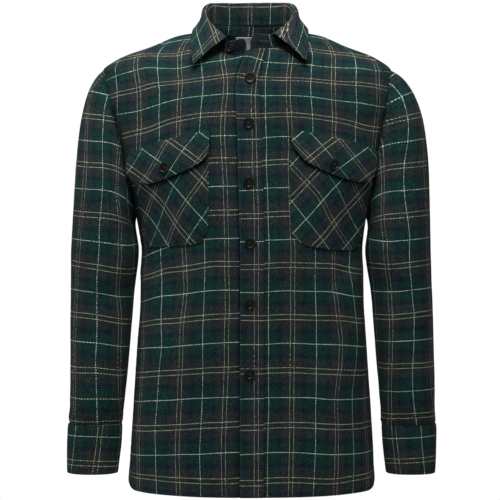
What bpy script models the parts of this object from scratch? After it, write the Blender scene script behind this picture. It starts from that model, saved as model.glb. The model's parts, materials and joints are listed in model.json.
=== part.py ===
"""A long-sleeved flannel shirt, filled out with no wearer. Millimetres inside, metres in the scene.

+Z is up, the fronts face -Y, and +X is the wearer's left. The origin lies between the two points
where the shoulder lines meet the collar.
"""

import math

import bmesh
import bpy
import numpy as np

MM = 0.001

# ---------------------------------------------------------------- sizes, in millimetres
CLOTH = 2.0  # wall of one layer
DOUBLE = 2.4  # wall of two layers sewn together: placket, flaps, cuffs, stand, collar
LABEL = 1.0
SEAM = 0.5  # between pieces that are sewn edge to edge
SHARP_SEAM = 2.3  # and along the shoulder, where their walls lean together
LIFT = 0.7  # between a panel and what lies on it

# The body, ring by ring from the hem up to the neck seam. "height" is the length of cloth above the hem,
# "middle" moves a ring sideways, "half" is its half width, then come the heights of its side, front and
# back, its depth to the front and back, and "round": 2 is an ellipse and 3 is boxier.
RING = ("height", "middle", "half", "z_side", "z_front", "z_back", "y_front", "y_back", "round")
BODY = np.array([
    (0, 2.6, 197.5, -727, -733, -731, -108, 104, 3.0),
    (77, 2.8, 193.5, -656, -656, -656, -107, 102, 3.0),
    (213, 3.0, 184.5, -520, -520, -520, -107, 100, 3.0),
    (319, 3.3, 177.6, -414, -414, -414, -107, 99, 3.0),
    (383, 3.2, 176.6, -350, -350, -350, -108, 99, 3.0),
    (435, 2.0, 183.0, -298, -298, -298, -110, 100, 2.9),
    (513, 0.0, 206.0, -220, -220, -220, -111, 102, 2.7),
    (589, -2.0, 224.0, -144, -144, -144, -106, 102, 2.3),
    (633, -4.0, 231.0, -100, -101, -100, -99, 97, 2.2),
    (669, -4.5, 229.5, -64, -74, -62, -93, 90, 1.9),
    (682, -3.5, 203.0, -44, -62, -50, -90, 83, 1.7),
    (694, -2.0, 155.0, -26, -51, -38, -87, 75, 1.8),
    (707, -1.0, 110.0, -8, -43, -24, -84, 66, 1.85),
    (718, 0.0, 73.0, -2, -37, -10, -81, 57, 2.0),
], float)
NECK_LEAN = 6.0  # the neckline sits this much higher at the wearer's left, as the top has fallen open
NECK_HEIGHT = 718.0
UNDERARM, SHOULDER_TIP = 435.0, 669.0  # cloth heights of the ends of the armhole
ARMHOLE = {-1: (55.0, 9.0, 55.0), 1: (49.0, 9.0, 55.0)}  # width in front, its lower fullness, and behind

# The largest folds of the body: which side, the cloth heights and the distances from the middle of the front
# between which each runs, its width, and how far it stands out or, below zero, in.
BODY_FOLD = ("side", "from_height", "to_height", "from_along", "to_along", "width", "depth")
BODY_FOLDS = [
    (-1, 235, 478, 120, 102, 25, -5.5),
    (-1, 190, 450, 168, 152, 24, 4.0),
    (-1, 20, 230, 78, 92, 28, -3.0),
    (1, 290, 505, 138, 160, 25, -5.5),
    (1, 100, 330, 96, 108, 28, -3.5),
    (1, 190, 420, 176, 186, 24, 3.5),
    (-1, 120, 430, 322, 352, 30, -6.0),
    (-1, 300, 600, 405, 392, 32, -4.5),
    (1, 90, 400, 330, 350, 30, -6.0),
    (1, 260, 560, 384, 410, 32, -4.0),
    (1, 30, 260, 430, 425, 34, -4.0),
]

# Front edges, by height: the wearer's right front runs on under the placket, and the top falls open.
EDGE = ("height", "right_front", "placket_from", "placket_to", "left_front")
EDGES = np.array([
    (0, -15, -17.6, 19.2, 17.0),
    (640, -15, -17.6, 19.2, 17.0),
    (665, -14, -15.6, 20.2, 18.0),
    (690, -6, -10.6, 22.2, 20.0),
    (718, 6, -4.6, 27.2, 25.0),
], float)

# Sleeves, ring by ring from the underarm down, measured from the middle: inner and outer edge, front and
# back depth.
SLEEVE_RING = ("z", "inner", "outer", "y_front", "y_back")
SLEEVES = {
    -1: np.array([
        (-318, 182.0, 282.5, -74, 72),
        (-350, 177.6, 284.8, -76, 74),
        (-414, 183.4, 286.4, -72, 68),
        (-498, 192.0, 288.5, -67, 58),
        (-587, 200.3, 289.6, -60, 42),
        (-620, 204.0, 289.6, -53, 30),
        (-628, 204.6, 289.8, -49, 24),
        (-656, 206.0, 290.7, -48, 22),
        (-704, 212.0, 290.9, -48, 20),
    ], float),
    1: np.array([
        (-318, 187.5, 288.5, -74, 72),
        (-350, 184.0, 289.5, -76, 74),
        (-414, 191.5, 291.5, -72, 68),
        (-498, 199.5, 294.5, -67, 58),
        (-587, 208.3, 295.5, -60, 42),
        (-620, 211.3, 295.8, -53, 30),
        (-628, 211.6, 296.0, -49, 24),
        (-656, 212.8, 296.0, -48, 22),
        (-704, 218.0, 295.0, -48, 20),
    ], float),
}
SLEEVE_ROUND = 2.2
# How the cloth leaves the top of the armhole: outwards, downwards, and how far it holds that way.
SLEEVE_CAP = {-1: (0.80, 0.62, 0.66), 1: (0.92, 0.42, 0.80)}
# The largest dents of the sleeves: side, height and turn of the middle, its two widths, and its depth.
SLEEVE_FOLD = ("side", "z", "turn", "width", "turn_width", "depth")
SLEEVE_FOLDS = [
    (-1, -425, 60, 42, 42, -5.0),
    (-1, -520, 120, 40, 45, -3.5),
    (-1, -400, 280, 45, 45, -5.0),
    (1, -410, 65, 42, 42, -5.0),
    (1, -500, 125, 40, 45, -3.5),
    (1, -440, 285, 45, 45, -5.0),
]
CUFF_TOP, CUFF_BOTTOM = -629.0, -705.0
CUFF_OVERLAP = 3.4  # how far the end of the cuff stands off the layer below it

# Collar stand and leaf, by the fraction of the way round the neck from the middle of the back to the end:
# at the front the stand leans on the neckline, and the leaf rolls over and falls to its point.
STAND = ("along", "rise", "lean")
STAND_TABLE = np.array([
    (0.0, 17.5, 1.0),
    (1.0, 13.0, 1.0),
    (1.5, 16.0, 0.0),
    (1.66, 18.5, -0.5),
    (1.84, 23.0, -1.0),
    (2.0, 24.0, -1.0),
], float)
STAND_END = 11.0  # radius of its two rounded ends
LEAF = ("along", "fold", "bulge", "roll_x", "roll_y", "roll_z", "edge_x", "edge_y", "edge_z")
LEAF_TABLE = np.array([
    (0.00, 5.0, 2.5, 0, 58, 45, 0, 82, -12),
    (0.22, 5.0, 2.5, 44, 48, 45, 55, 69, -8),
    (0.40, 5.0, 0.0, 67, 24, 44, 83, 36, -1),
    (0.54, 4.5, -2.5, 73, -4, 34, 92, -2, 4),
    (0.70, 3.8, -1.5, 70, -38, 22, 93, -41, -9),
    (0.85, 3.2, 2.0, 57.5, -61, 6.5, 91.5, -71, -30),
    (1.00, 2.6, 2.5, 38.0, -77.5, -10.0, 88.5, -88, -53),
], float)
LEAF_FROM = 38.0  # how far along the neck from the middle of the front the leaf starts
LEAF_LEAN = 6.0  # the front of the left leaf lies this much higher than the right one

# Outlines on the fronts, as x and z pairs, clockwise or not.
POCKET = {
    -1: [(-65, -182), (-65, -311), (-78, -334), (-157, -341), (-170, -285), (-184, -218)],
    1: [(62, -182), (63, -318), (85, -337), (125, -343), (164, -347), (178, -321), (195, -214)],
}
FLAP = {
    -1: [(-65, -158), (-63, -193), (-73, -204), (-87, -214), (-117, -227), (-148, -239), (-164, -241),
         (-180, -237), (-191, -221), (-189, -196), (-169, -187), (-123, -169)],
    1: [(64, -158), (64, -173), (70, -187), (83, -203), (105, -215), (149, -234), (175, -238), (188, -230),
        (196, -216), (196, -191), (184, -185), (162, -176), (128, -168), (83, -159)],
}
FLAP_SEAM = {-1: ((-65, -158), (-189, -196)), 1: ((64, -158), (196, -191))}  # ends of the sewn edge
FLAP_STANDS = 5.0  # how far the free edge of a flap stands off
NECK_LABEL = (-23, 23, -44, -11.5)  # left, right, bottom, top

BUTTON_DIA, BUTTON_THICK = 17.0, 3.2
FRONT_BUTTONS = [(0.6, -75.7), (-2.3, -145.7), (-1.6, -237.5), (0.0, -332.7), (0.0, -427.6), (0.0, -538.3)]
COLLAR_BUTTON = -29.7
FLAP_BUTTON = {-1: (-132.9, -215.2), 1: (131.4, -210.2)}
SMALL_BUTTON_DIA = 13.0

COLOUR = {
    "flannel": (0.022, 0.045, 0.036, 1),
    "label": (0.75, 0.76, 0.76, 1),
    "button": (0.012, 0.018, 0.014, 1),
}


# ---------------------------------------------------------------- curves
def curve(xs, ys, at):
    """A smooth curve through the rows that makes no new highs or lows."""
    xs, ys = np.asarray(xs, float), np.asarray(ys, float)
    at = np.clip(np.asarray(at, float), xs[0], xs[-1])
    step = np.diff(xs)
    slope = np.diff(ys) / step
    tangent = np.zeros(len(xs))
    tangent[0], tangent[-1] = slope[0], slope[-1]
    for i in range(1, len(xs) - 1):
        if slope[i - 1] * slope[i] > 0:
            w0, w1 = 2 * step[i] + step[i - 1], step[i] + 2 * step[i - 1]
            tangent[i] = (w0 + w1) / (w0 / slope[i - 1] + w1 / slope[i])
    i = np.clip(np.searchsorted(xs, at, side="right") - 1, 0, len(xs) - 2)
    t = (at - xs[i]) / step[i]
    return (
        (1 + 2 * t) * (1 - t) ** 2 * ys[i]
        + t * (1 - t) ** 2 * step[i] * tangent[i]
        + t**2 * (3 - 2 * t) * ys[i + 1]
        - t**2 * (1 - t) * step[i] * tangent[i + 1]
    )


def row_of(table, names, at):
    return {name: float(curve(table[:, 0], table[:, k], at)) for k, name in enumerate(names)}


def quarter(half, depth, roundness):
    """Quarter of a ring, from its front or back to its side, with the length along it."""
    angle = np.linspace(0, math.pi / 2, 241)
    x = half * np.sin(angle) ** (2 / roundness)
    y = depth * np.cos(angle) ** (2 / roundness)
    length = np.concatenate([[0], np.cumsum(np.hypot(np.diff(x), np.diff(y)))])
    return x, y, length


def quarter_lengths(height):
    r = row_of(BODY, RING, height)
    return (quarter(r["half"], -r["y_front"], r["round"])[2][-1],
            quarter(r["half"], r["y_back"], r["round"])[2][-1])


def body_folds(side, height, along):
    """How far the folds move the body out, on one side, at one height."""
    total = np.zeros_like(np.asarray(along, float))
    for fold in BODY_FOLDS:
        f = dict(zip(BODY_FOLD, fold, strict=True))
        part = (height - f["from_height"]) / (f["to_height"] - f["from_height"])
        if f["side"] != side or not 0 < part < 1:
            continue
        line = f["from_along"] + (f["to_along"] - f["from_along"]) * part
        total += f["depth"] * math.sin(math.pi * part) ** 2 * np.exp(-(((along - line) / f["width"]) ** 2))
    return total


def body_row(side, height, along):
    """Points of the body at one height, "along" millimetres from the middle of the front towards a side.
    Below zero they lie past the middle, and past the side they lie on the back."""
    r = row_of(BODY, RING, height)
    fx, fy, fl = quarter(r["half"], -r["y_front"], r["round"])
    bx, by, bl = quarter(r["half"], r["y_back"], r["round"])
    along = np.asarray(along, float)
    sign = np.sign(along) + (along == 0)
    s = np.abs(along)
    front = s <= fl[-1]
    back_s = np.clip(fl[-1] + bl[-1] - s, 0, bl[-1])
    x = np.where(front, np.interp(s, fl, fx), np.interp(back_s, bl, bx)) * sign * side
    y = np.where(front, -np.interp(s, fl, fy), np.interp(back_s, bl, by))
    part = np.where(front, s / fl[-1], 1 + (s - fl[-1]) / bl[-1])
    ends = np.where(front, r["z_front"], r["z_back"])
    z = r["z_side"] + (ends - r["z_side"]) * (1 - np.abs(np.sin(np.clip(part, 0, 2) * math.pi / 2)) ** 3)
    top = np.clip((height - 669) / (NECK_HEIGHT - 669), 0, 1)
    z = z + np.where(front, NECK_LEAN * top * np.tanh((x + 10) / 11) * np.cos(part * math.pi / 2) ** 2, 0)
    depth = np.where(front, r["y_front"], r["y_back"])
    out = np.stack([x / r["half"] ** 2, y / depth**2], axis=-1)
    out /= np.linalg.norm(out, axis=-1, keepdims=True)
    push = body_folds(side, height, along)
    return np.stack([x + r["middle"] + out[..., 0] * push, y + out[..., 1] * push, z], axis=-1)


def armhole_height(angle):
    """Cloth height of the armhole seam, from the underarm at 0 to the tip of the shoulder at pi."""
    return (UNDERARM + SHOULDER_TIP) / 2 - (SHOULDER_TIP - UNDERARM) / 2 * math.cos(angle)


def armhole_inset(side, height):
    """How far the seam lies in front of the side line and behind it, at this cloth height."""
    if height <= UNDERARM or height >= SHOULDER_TIP:
        return 0.0, 0.0
    c = (height - (UNDERARM + SHOULDER_TIP) / 2) / ((SHOULDER_TIP - UNDERARM) / 2)
    angle = math.acos(max(-1.0, min(1.0, -c)))
    front, lower, back = ARMHOLE[side]
    width = math.sin(angle) ** 0.85
    return (front + lower * math.cos(angle)) * width, back * width


def side_gap(height):
    """Half of the gap between front and back: none on the armhole, where the sleeve keeps it."""
    if height >= SHOULDER_TIP:
        return SHARP_SEAM / 2
    return SEAM * 0.65 if height <= UNDERARM else 0.0


def panel_heights(below, within, above):
    """Cloth heights of the rows: closer together where the armhole turns."""
    low = list(np.linspace(0, UNDERARM, below + 1))
    middle = [armhole_height(a) for a in np.linspace(0, math.pi, within + 1)[1:-1]]
    high = list(np.linspace(SHOULDER_TIP, NECK_HEIGHT, above + 1))
    return low + middle + high


# ---------------------------------------------------------------- the sheets as tables of points
BELOW, WITHIN, ABOVE = 10, 9, 3
HEIGHTS = panel_heights(BELOW, WITHIN, ABOVE)
FRONT_COLUMNS, BACK_COLUMNS = 10, 19


def front_points(side):
    rows = []
    for height in HEIGHTS:
        edges = row_of(EDGES, EDGE, height)
        start = edges["right_front"] if side < 0 else edges["left_front"]
        inset = armhole_inset(side, height)[0]
        end = quarter_lengths(height)[0] - inset - side_gap(height)
        spread = np.linspace(0, 1, FRONT_COLUMNS)
        rows.append(body_row(side, height, start + (end - start) * spread))
    return np.array(rows)


def back_points():
    rows = []
    for height in HEIGHTS:
        front, back = quarter_lengths(height)
        halves = []
        for side in (-1, 1):
            inset = armhole_inset(side, height)[1]
            start = front + inset + side_gap(height)
            spread = np.linspace(0, 1, (BACK_COLUMNS + 1) // 2)
            halves.append(body_row(side, height, start + (front + back - start) * spread))
        rows.append(np.concatenate([halves[0], halves[1][::-1][1:]]))
    return np.array(rows)


def armhole_ring(side, count):
    """The seam, from the underarm up the front, over the tip and down the back."""
    points = []
    for i in range(count):
        turn = 2 * math.pi * i / count
        angle = turn if turn <= math.pi else 2 * math.pi - turn
        height = armhole_height(angle)
        length = quarter_lengths(height)[0]
        front, back = armhole_inset(side, height)
        along = length - front if turn <= math.pi else length + back
        points.append(body_row(side, height, [along])[0])
    return np.array(points)


def sleeve_ring(side, z, count, out=0.0, turns=None):
    """One ring of the sleeve: 0 is its inner line, a quarter of a turn on is its front."""
    r = row_of(SLEEVES[side][::-1], SLEEVE_RING, z)
    turn = np.linspace(0, 2 * math.pi, count + 1)[:-1] if turns is None else np.asarray(turns)
    half = (r["outer"] - r["inner"]) / 2 + out
    middle = (r["outer"] + r["inner"]) / 2
    c, s = np.cos(turn), np.sin(turn)
    power = 2 / SLEEVE_ROUND
    x = middle - half * np.sign(c) * np.abs(c) ** power
    centre = (r["y_front"] + r["y_back"]) / 2
    depth = (r["y_back"] - r["y_front"]) / 2 + out
    y = centre - depth * np.sign(s) * np.abs(s) ** power
    push = np.zeros_like(x)
    for fold in SLEEVE_FOLDS:
        f = dict(zip(SLEEVE_FOLD, fold, strict=True))
        if f["side"] == side:
            away = (np.degrees(turn) - f["turn"] + 180) % 360 - 180
            push += f["depth"] * np.exp(-(((z - f["z"]) / f["width"]) ** 2) - (away / f["turn_width"]) ** 2)
    x, y = x - push * c, y - push * s
    return np.stack([side * x, y, np.full_like(x, z)], axis=-1)


def sleeve_points(side, count, cap_rows, arm_rows):
    top_z = SLEEVES[side][0, 0]
    seam = armhole_ring(side, count)
    below = sleeve_ring(side, top_z, count)
    down = sleeve_ring(side, top_z - 1, count) - below
    turn = np.linspace(0, 2 * math.pi, count + 1)[:-1]
    over = (1 - np.cos(turn)) / 2
    outwards, downwards, hold = SLEEVE_CAP[side]
    leave = np.stack(
        [side * (0.40 + (outwards - 0.40) * over), -0.45 * np.sin(turn), -(0.92 + (downwards - 0.92) * over)], axis=-1
    )
    leave /= np.linalg.norm(leave, axis=1, keepdims=True)
    down /= np.linalg.norm(down, axis=1, keepdims=True)
    chord = np.linalg.norm(below - seam, axis=1, keepdims=True)
    rings = []
    for t in np.linspace(0, 1, cap_rows + 1):
        t = t**1.15
        ring = (
            (1 + 2 * t) * (1 - t) ** 2 * (seam + 1.5 * SEAM * leave)
            + t * (1 - t) ** 2 * (0.66 + (hold - 0.66) * over[:, None]) * chord * leave
            + t**2 * (3 - 2 * t) * below
            - t**2 * (1 - t) * 0.95 * chord * down
        )
        rings.append(ring)
    for z in np.linspace(top_z, CUFF_TOP + SEAM, arm_rows + 1)[1:]:
        rings.append(sleeve_ring(side, z, count))
    return np.array(rings)


def cuff_points(side, steps, rows):
    """A band that goes round once and laps over itself behind."""
    start, lap = math.radians(232), 2
    turns = start + np.arange(steps + lap + 1) * 2 * math.pi / steps
    out = -1.6 + CUFF_OVERLAP * np.clip(np.arange(steps + lap + 1) / steps, 0, 1)
    rings = []
    for z in np.linspace(CUFF_TOP, CUFF_BOTTOM, rows + 1):
        ring = sleeve_ring(side, z, 0, turns=turns)
        centre = sleeve_ring(side, z, 0, turns=[0, math.pi]).mean(axis=0)
        away = ring - centre
        away[:, 2] = 0
        away /= np.linalg.norm(away, axis=1, keepdims=True)
        rings.append(ring + away * out[:, None])
    return np.array(rings)


def neck_path(count, from_right, from_left, close=()):
    """Points of the neck seam from the wearer's right end, round the back, to the left end, with the
    fraction of a half that each lies from the front (0) to the back (2). "close" adds stops near the ends."""
    front, back = quarter_lengths(NECK_HEIGHT)
    half = front + back
    near = np.array([0.0, *close])
    stops = np.concatenate([
        from_right + near[:-1],
        np.linspace(from_right + near[-1], 2 * half - from_left - near[-1], count),
        (2 * half - from_left - near[:-1])[::-1],
    ])
    points = []
    for s in stops:
        side, along = (-1, s) if s <= half else (1, 2 * half - s)
        points.append(body_row(side, NECK_HEIGHT, [along])[0])
    fraction = np.minimum(stops, 2 * half - stops) / half * 2
    return np.array(points), fraction


def stand_shape(seam, fraction):
    """How far the stand rises and leans in at each point of the neck seam, and which way is in."""
    rise = curve(STAND_TABLE[:, 0], STAND_TABLE[:, 1], 2 - fraction)
    lean = curve(STAND_TABLE[:, 0], STAND_TABLE[:, 2], 2 - fraction)
    inward = np.array([0, -10, 0]) - seam
    inward[:, 2] = 0
    inward /= np.linalg.norm(inward, axis=1, keepdims=True)
    return rise, lean, inward


def stand_points(count, rows):
    seam, fraction = neck_path(count, 6.5, 1.0, close=(1.5, 4.0, 7.5, 12.0))
    rise, lean, inward = stand_shape(seam, fraction)
    steps = np.concatenate([[0], np.cumsum(np.linalg.norm(np.diff(seam, axis=0), axis=1))])
    ends = np.clip(np.minimum(steps, steps[-1] - steps), 0, STAND_END)
    rounding = 1 - (STAND_END - np.sqrt(STAND_END**2 - (STAND_END - ends) ** 2)) / rise * 1.15
    levels = []
    for t in np.linspace(0, 1, rows + 1):
        up = (2.2 * SEAM + rise * t * rounding)[:, None] * np.array([0, 0, 1])
        levels.append(seam + up + inward * (lean * t)[:, None])
    return np.array(levels)


def leaf_points(count, rows):
    """The leaf, from its seam on the stand up to the roll and down to its free edge."""
    stops = np.linspace(-1, 1, count)
    seam, fraction = neck_path(400, LEAF_FROM, LEAF_FROM)
    rise, lean, inward = stand_shape(seam, fraction)
    roots = seam + inward * (lean + DOUBLE)[:, None] + (rise + 3.8 * SEAM)[:, None] * np.array([0, 0, 1])
    columns = []
    for stop in stops:
        r = row_of(LEAF_TABLE, LEAF, abs(stop))
        higher = LEAF_LEAN * (stop > 0) * np.clip((abs(stop) - 0.55) / 0.45, 0, 1)
        sign = 1 if stop >= 0 else -1
        roll = np.array([sign * r["roll_x"], r["roll_y"], r["roll_z"] + higher])
        edge = np.array([sign * r["edge_x"], r["edge_y"], r["edge_z"] + higher])
        # Where the leaf leans out over the stand, its wall is below it and needs room.
        room = np.array([0, 0, (CLOTH + 0.6) * np.clip((abs(stop) - 0.42) / 0.2, 0, 1)])
        root = roots[np.argmin(np.hypot(*(seam - roll)[:, :2].T))] + room
        before, after = (row_of(LEAF_TABLE, LEAF, min(max(abs(stop) + d, 0), 1)) for d in (-0.03, 0.03))
        run = np.array([sign * (after["roll_x"] - before["roll_x"]), after["roll_y"] - before["roll_y"]])
        if abs(stop) < 0.03:
            run = np.array([1.0, 0.0])
        out = np.array([run[1], -run[0], 0.0]) / np.linalg.norm(run)
        if out @ (roll - np.array([0, -10, roll[2]])) < 0:
            out = -out
        radius = r["fold"]
        up = np.array([0, 0, 1.0])
        knots = [
            root,
            root * 0.45 + (roll - out * radius - up * radius) * 0.55,
            roll - out * radius * 0.72 - up * radius * 0.32,
            roll,
            roll + out * radius * 0.80 - up * radius * 0.45,
            roll * 0.55 + edge * 0.45 + out * r["bulge"] + up * 0.5,
            edge,
        ]
        knots = np.array(knots)
        length = np.concatenate([[0], np.cumsum(np.linalg.norm(np.diff(knots, axis=0), axis=1))])
        share = np.concatenate([
            np.linspace(0, length[3], rows // 2 + 1),
            np.linspace(length[3], length[-1], rows - rows // 2 + 1)[1:],
        ])
        columns.append(np.stack([curve(length, knots[:, k], share) for k in range(3)], axis=-1))
    return np.swapaxes(np.array(columns), 0, 1)


# ---------------------------------------------------------------- Blender objects
def clear_scene():
    for obj in list(bpy.data.objects):
        bpy.data.objects.remove(obj, do_unlink=True)
    for group in list(bpy.data.collections):
        bpy.data.collections.remove(group)


def material(name, colour, roughness):
    mat = bpy.data.materials.new(name)
    mat.use_nodes = True
    shader = mat.node_tree.nodes["Principled BSDF"]
    shader.inputs["Base Color"].default_value = colour
    shader.inputs["Roughness"].default_value = roughness
    mat.diffuse_color = colour
    return mat


def grid_mesh(points, closed=False):
    """A grid of quads whose corners are the table of points, in metres."""
    rows, columns = points.shape[:2]
    if closed:
        points = np.concatenate([points, points[:, :1]], axis=1)
        columns += 1
    bm = bmesh.new()
    bmesh.ops.create_grid(bm, x_segments=columns - 1, y_segments=rows - 1, size=1)
    bm.verts.ensure_lookup_table()
    for vert, point in zip(bm.verts, points.reshape(-1, 3), strict=True):
        vert.co = point * MM
    if closed:
        bmesh.ops.remove_doubles(bm, verts=bm.verts, dist=1e-6)
    # Fixed diagonals, so that what lies on a panel has the same facets.
    bmesh.ops.triangulate(bm, faces=bm.faces, quad_method="FIXED")
    bm.normal_update()
    return bm


def face_away(bm, from_point):
    """Turns the sheet so that its faces look away from this point, on the whole."""
    origin = np.array(from_point) * MM
    total = sum((np.array(f.calc_center_median()) - origin) @ np.array(f.normal) * f.calc_area() for f in bm.faces)
    if total < 0:
        bmesh.ops.reverse_faces(bm, faces=bm.faces)
        bm.normal_update()


def lift(bm, amount):
    """Moves the sheet out along its own normals. "amount" is millimetres, or a function of x, y and z."""
    moves = [(v, v.normal.copy() * (amount(v.co / MM) if callable(amount) else amount) * MM) for v in bm.verts]
    for vert, move in moves:
        vert.co += move
    bm.normal_update()


def trim(bm, outline):
    """Keeps what lies inside a convex outline of x and z pairs, seen from the front."""
    ring = np.array(outline, float)
    middle = ring.mean(axis=0)
    for a, b in zip(ring, np.roll(ring, -1, axis=0), strict=True):
        normal = np.array([b[1] - a[1], a[0] - b[0]])
        normal /= np.linalg.norm(normal)
        if normal @ (middle - a) > 0:
            normal = -normal
        bmesh.ops.bisect_plane(
            bm,
            geom=bm.verts[:] + bm.edges[:] + bm.faces[:],
            dist=1e-6,
            plane_co=(a[0] * MM, 0, a[1] * MM),
            plane_no=(normal[0], 0, normal[1]),
            clear_outer=True,
        )
    bmesh.ops.remove_doubles(bm, verts=bm.verts, dist=4e-4)
    bm.normal_update()


def drop_faces(bm, keep):
    """Keeps the faces whose middle, in millimetres, passes the test."""
    away = [f for f in bm.faces if not keep(f.calc_center_median() / MM)]
    bmesh.ops.delete(bm, geom=away, context="FACES")


def place(name, bm, mat, group):
    mesh = bpy.data.meshes.new(name)
    bm.to_mesh(mesh)
    bm.free()
    obj = bpy.data.objects.new(name, mesh)
    obj.data.materials.append(mat)
    group.objects.link(obj)
    return obj


def wall(name, bm, thickness, mat, group):
    """A sheet of cloth with its wall on the inner side."""
    obj = place(name, bm, mat, group)
    solid = obj.modifiers.new("wall", "SOLIDIFY")
    solid.thickness = thickness * MM
    solid.offset = -1
    solid.use_even_offset = False
    return obj


def button(name, at, normal, diameter, mat, group):
    """A round button with a softened rim, its back on the point."""
    bm = bmesh.new()
    bmesh.ops.create_cone(
        bm, cap_ends=True, segments=20, radius1=diameter / 2 * MM, radius2=diameter / 2 * MM,
        depth=BUTTON_THICK * MM,
    )
    obj = place(name, bm, mat, group)
    soften = obj.modifiers.new("rim", "BEVEL")
    soften.width = 0.7 * MM
    soften.segments = 1
    normal = np.array(normal, float) / np.linalg.norm(normal)
    obj.rotation_mode = "QUATERNION"
    obj.rotation_quaternion = bpy_vector(normal).to_track_quat("Z", "Y")
    obj.location = (np.array(at, float) + normal * BUTTON_THICK / 2) * MM
    return obj


def bpy_vector(values):
    from mathutils import Vector

    return Vector([float(v) for v in values])


def nearest(points, x, z):
    """The point of a table of points at this x and z as seen from the front, and its normal."""
    rows, columns = points.shape[:2]
    best = None
    for i in range(rows - 1):
        for j in range(columns - 1):
            quad = [points[i, j], points[i, j + 1], points[i + 1, j + 1], points[i + 1, j]]
            for a, b, c in ((quad[0], quad[1], quad[2]), (quad[0], quad[2], quad[3])):
                m = np.array([[b[0] - a[0], c[0] - a[0]], [b[2] - a[2], c[2] - a[2]]])
                if abs(np.linalg.det(m)) < 1e-9:
                    continue
                u, v = np.linalg.solve(m, [x - a[0], z - a[2]])
                if u >= -1e-6 and v >= -1e-6 and u + v <= 1 + 1e-6:
                    p = a + u * (b - a) + v * (c - a)
                    if best is None or p[1] < best[0][1]:
                        n = np.cross(b - a, c - a)
                        n /= np.linalg.norm(n)
                        best = (p, -n if n[1] > 0 else n)
    return best


def distance_below(seam, x, z):
    """How far a point lies below the sewn edge of a flap."""
    (ax, az), (bx, bz) = seam
    if ax > bx:
        ax, az, bx, bz = bx, bz, ax, az
    length = math.hypot(bx - ax, bz - az)
    return ((bx - ax) * (az - z) + (bz - az) * (x - ax)) / length


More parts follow.
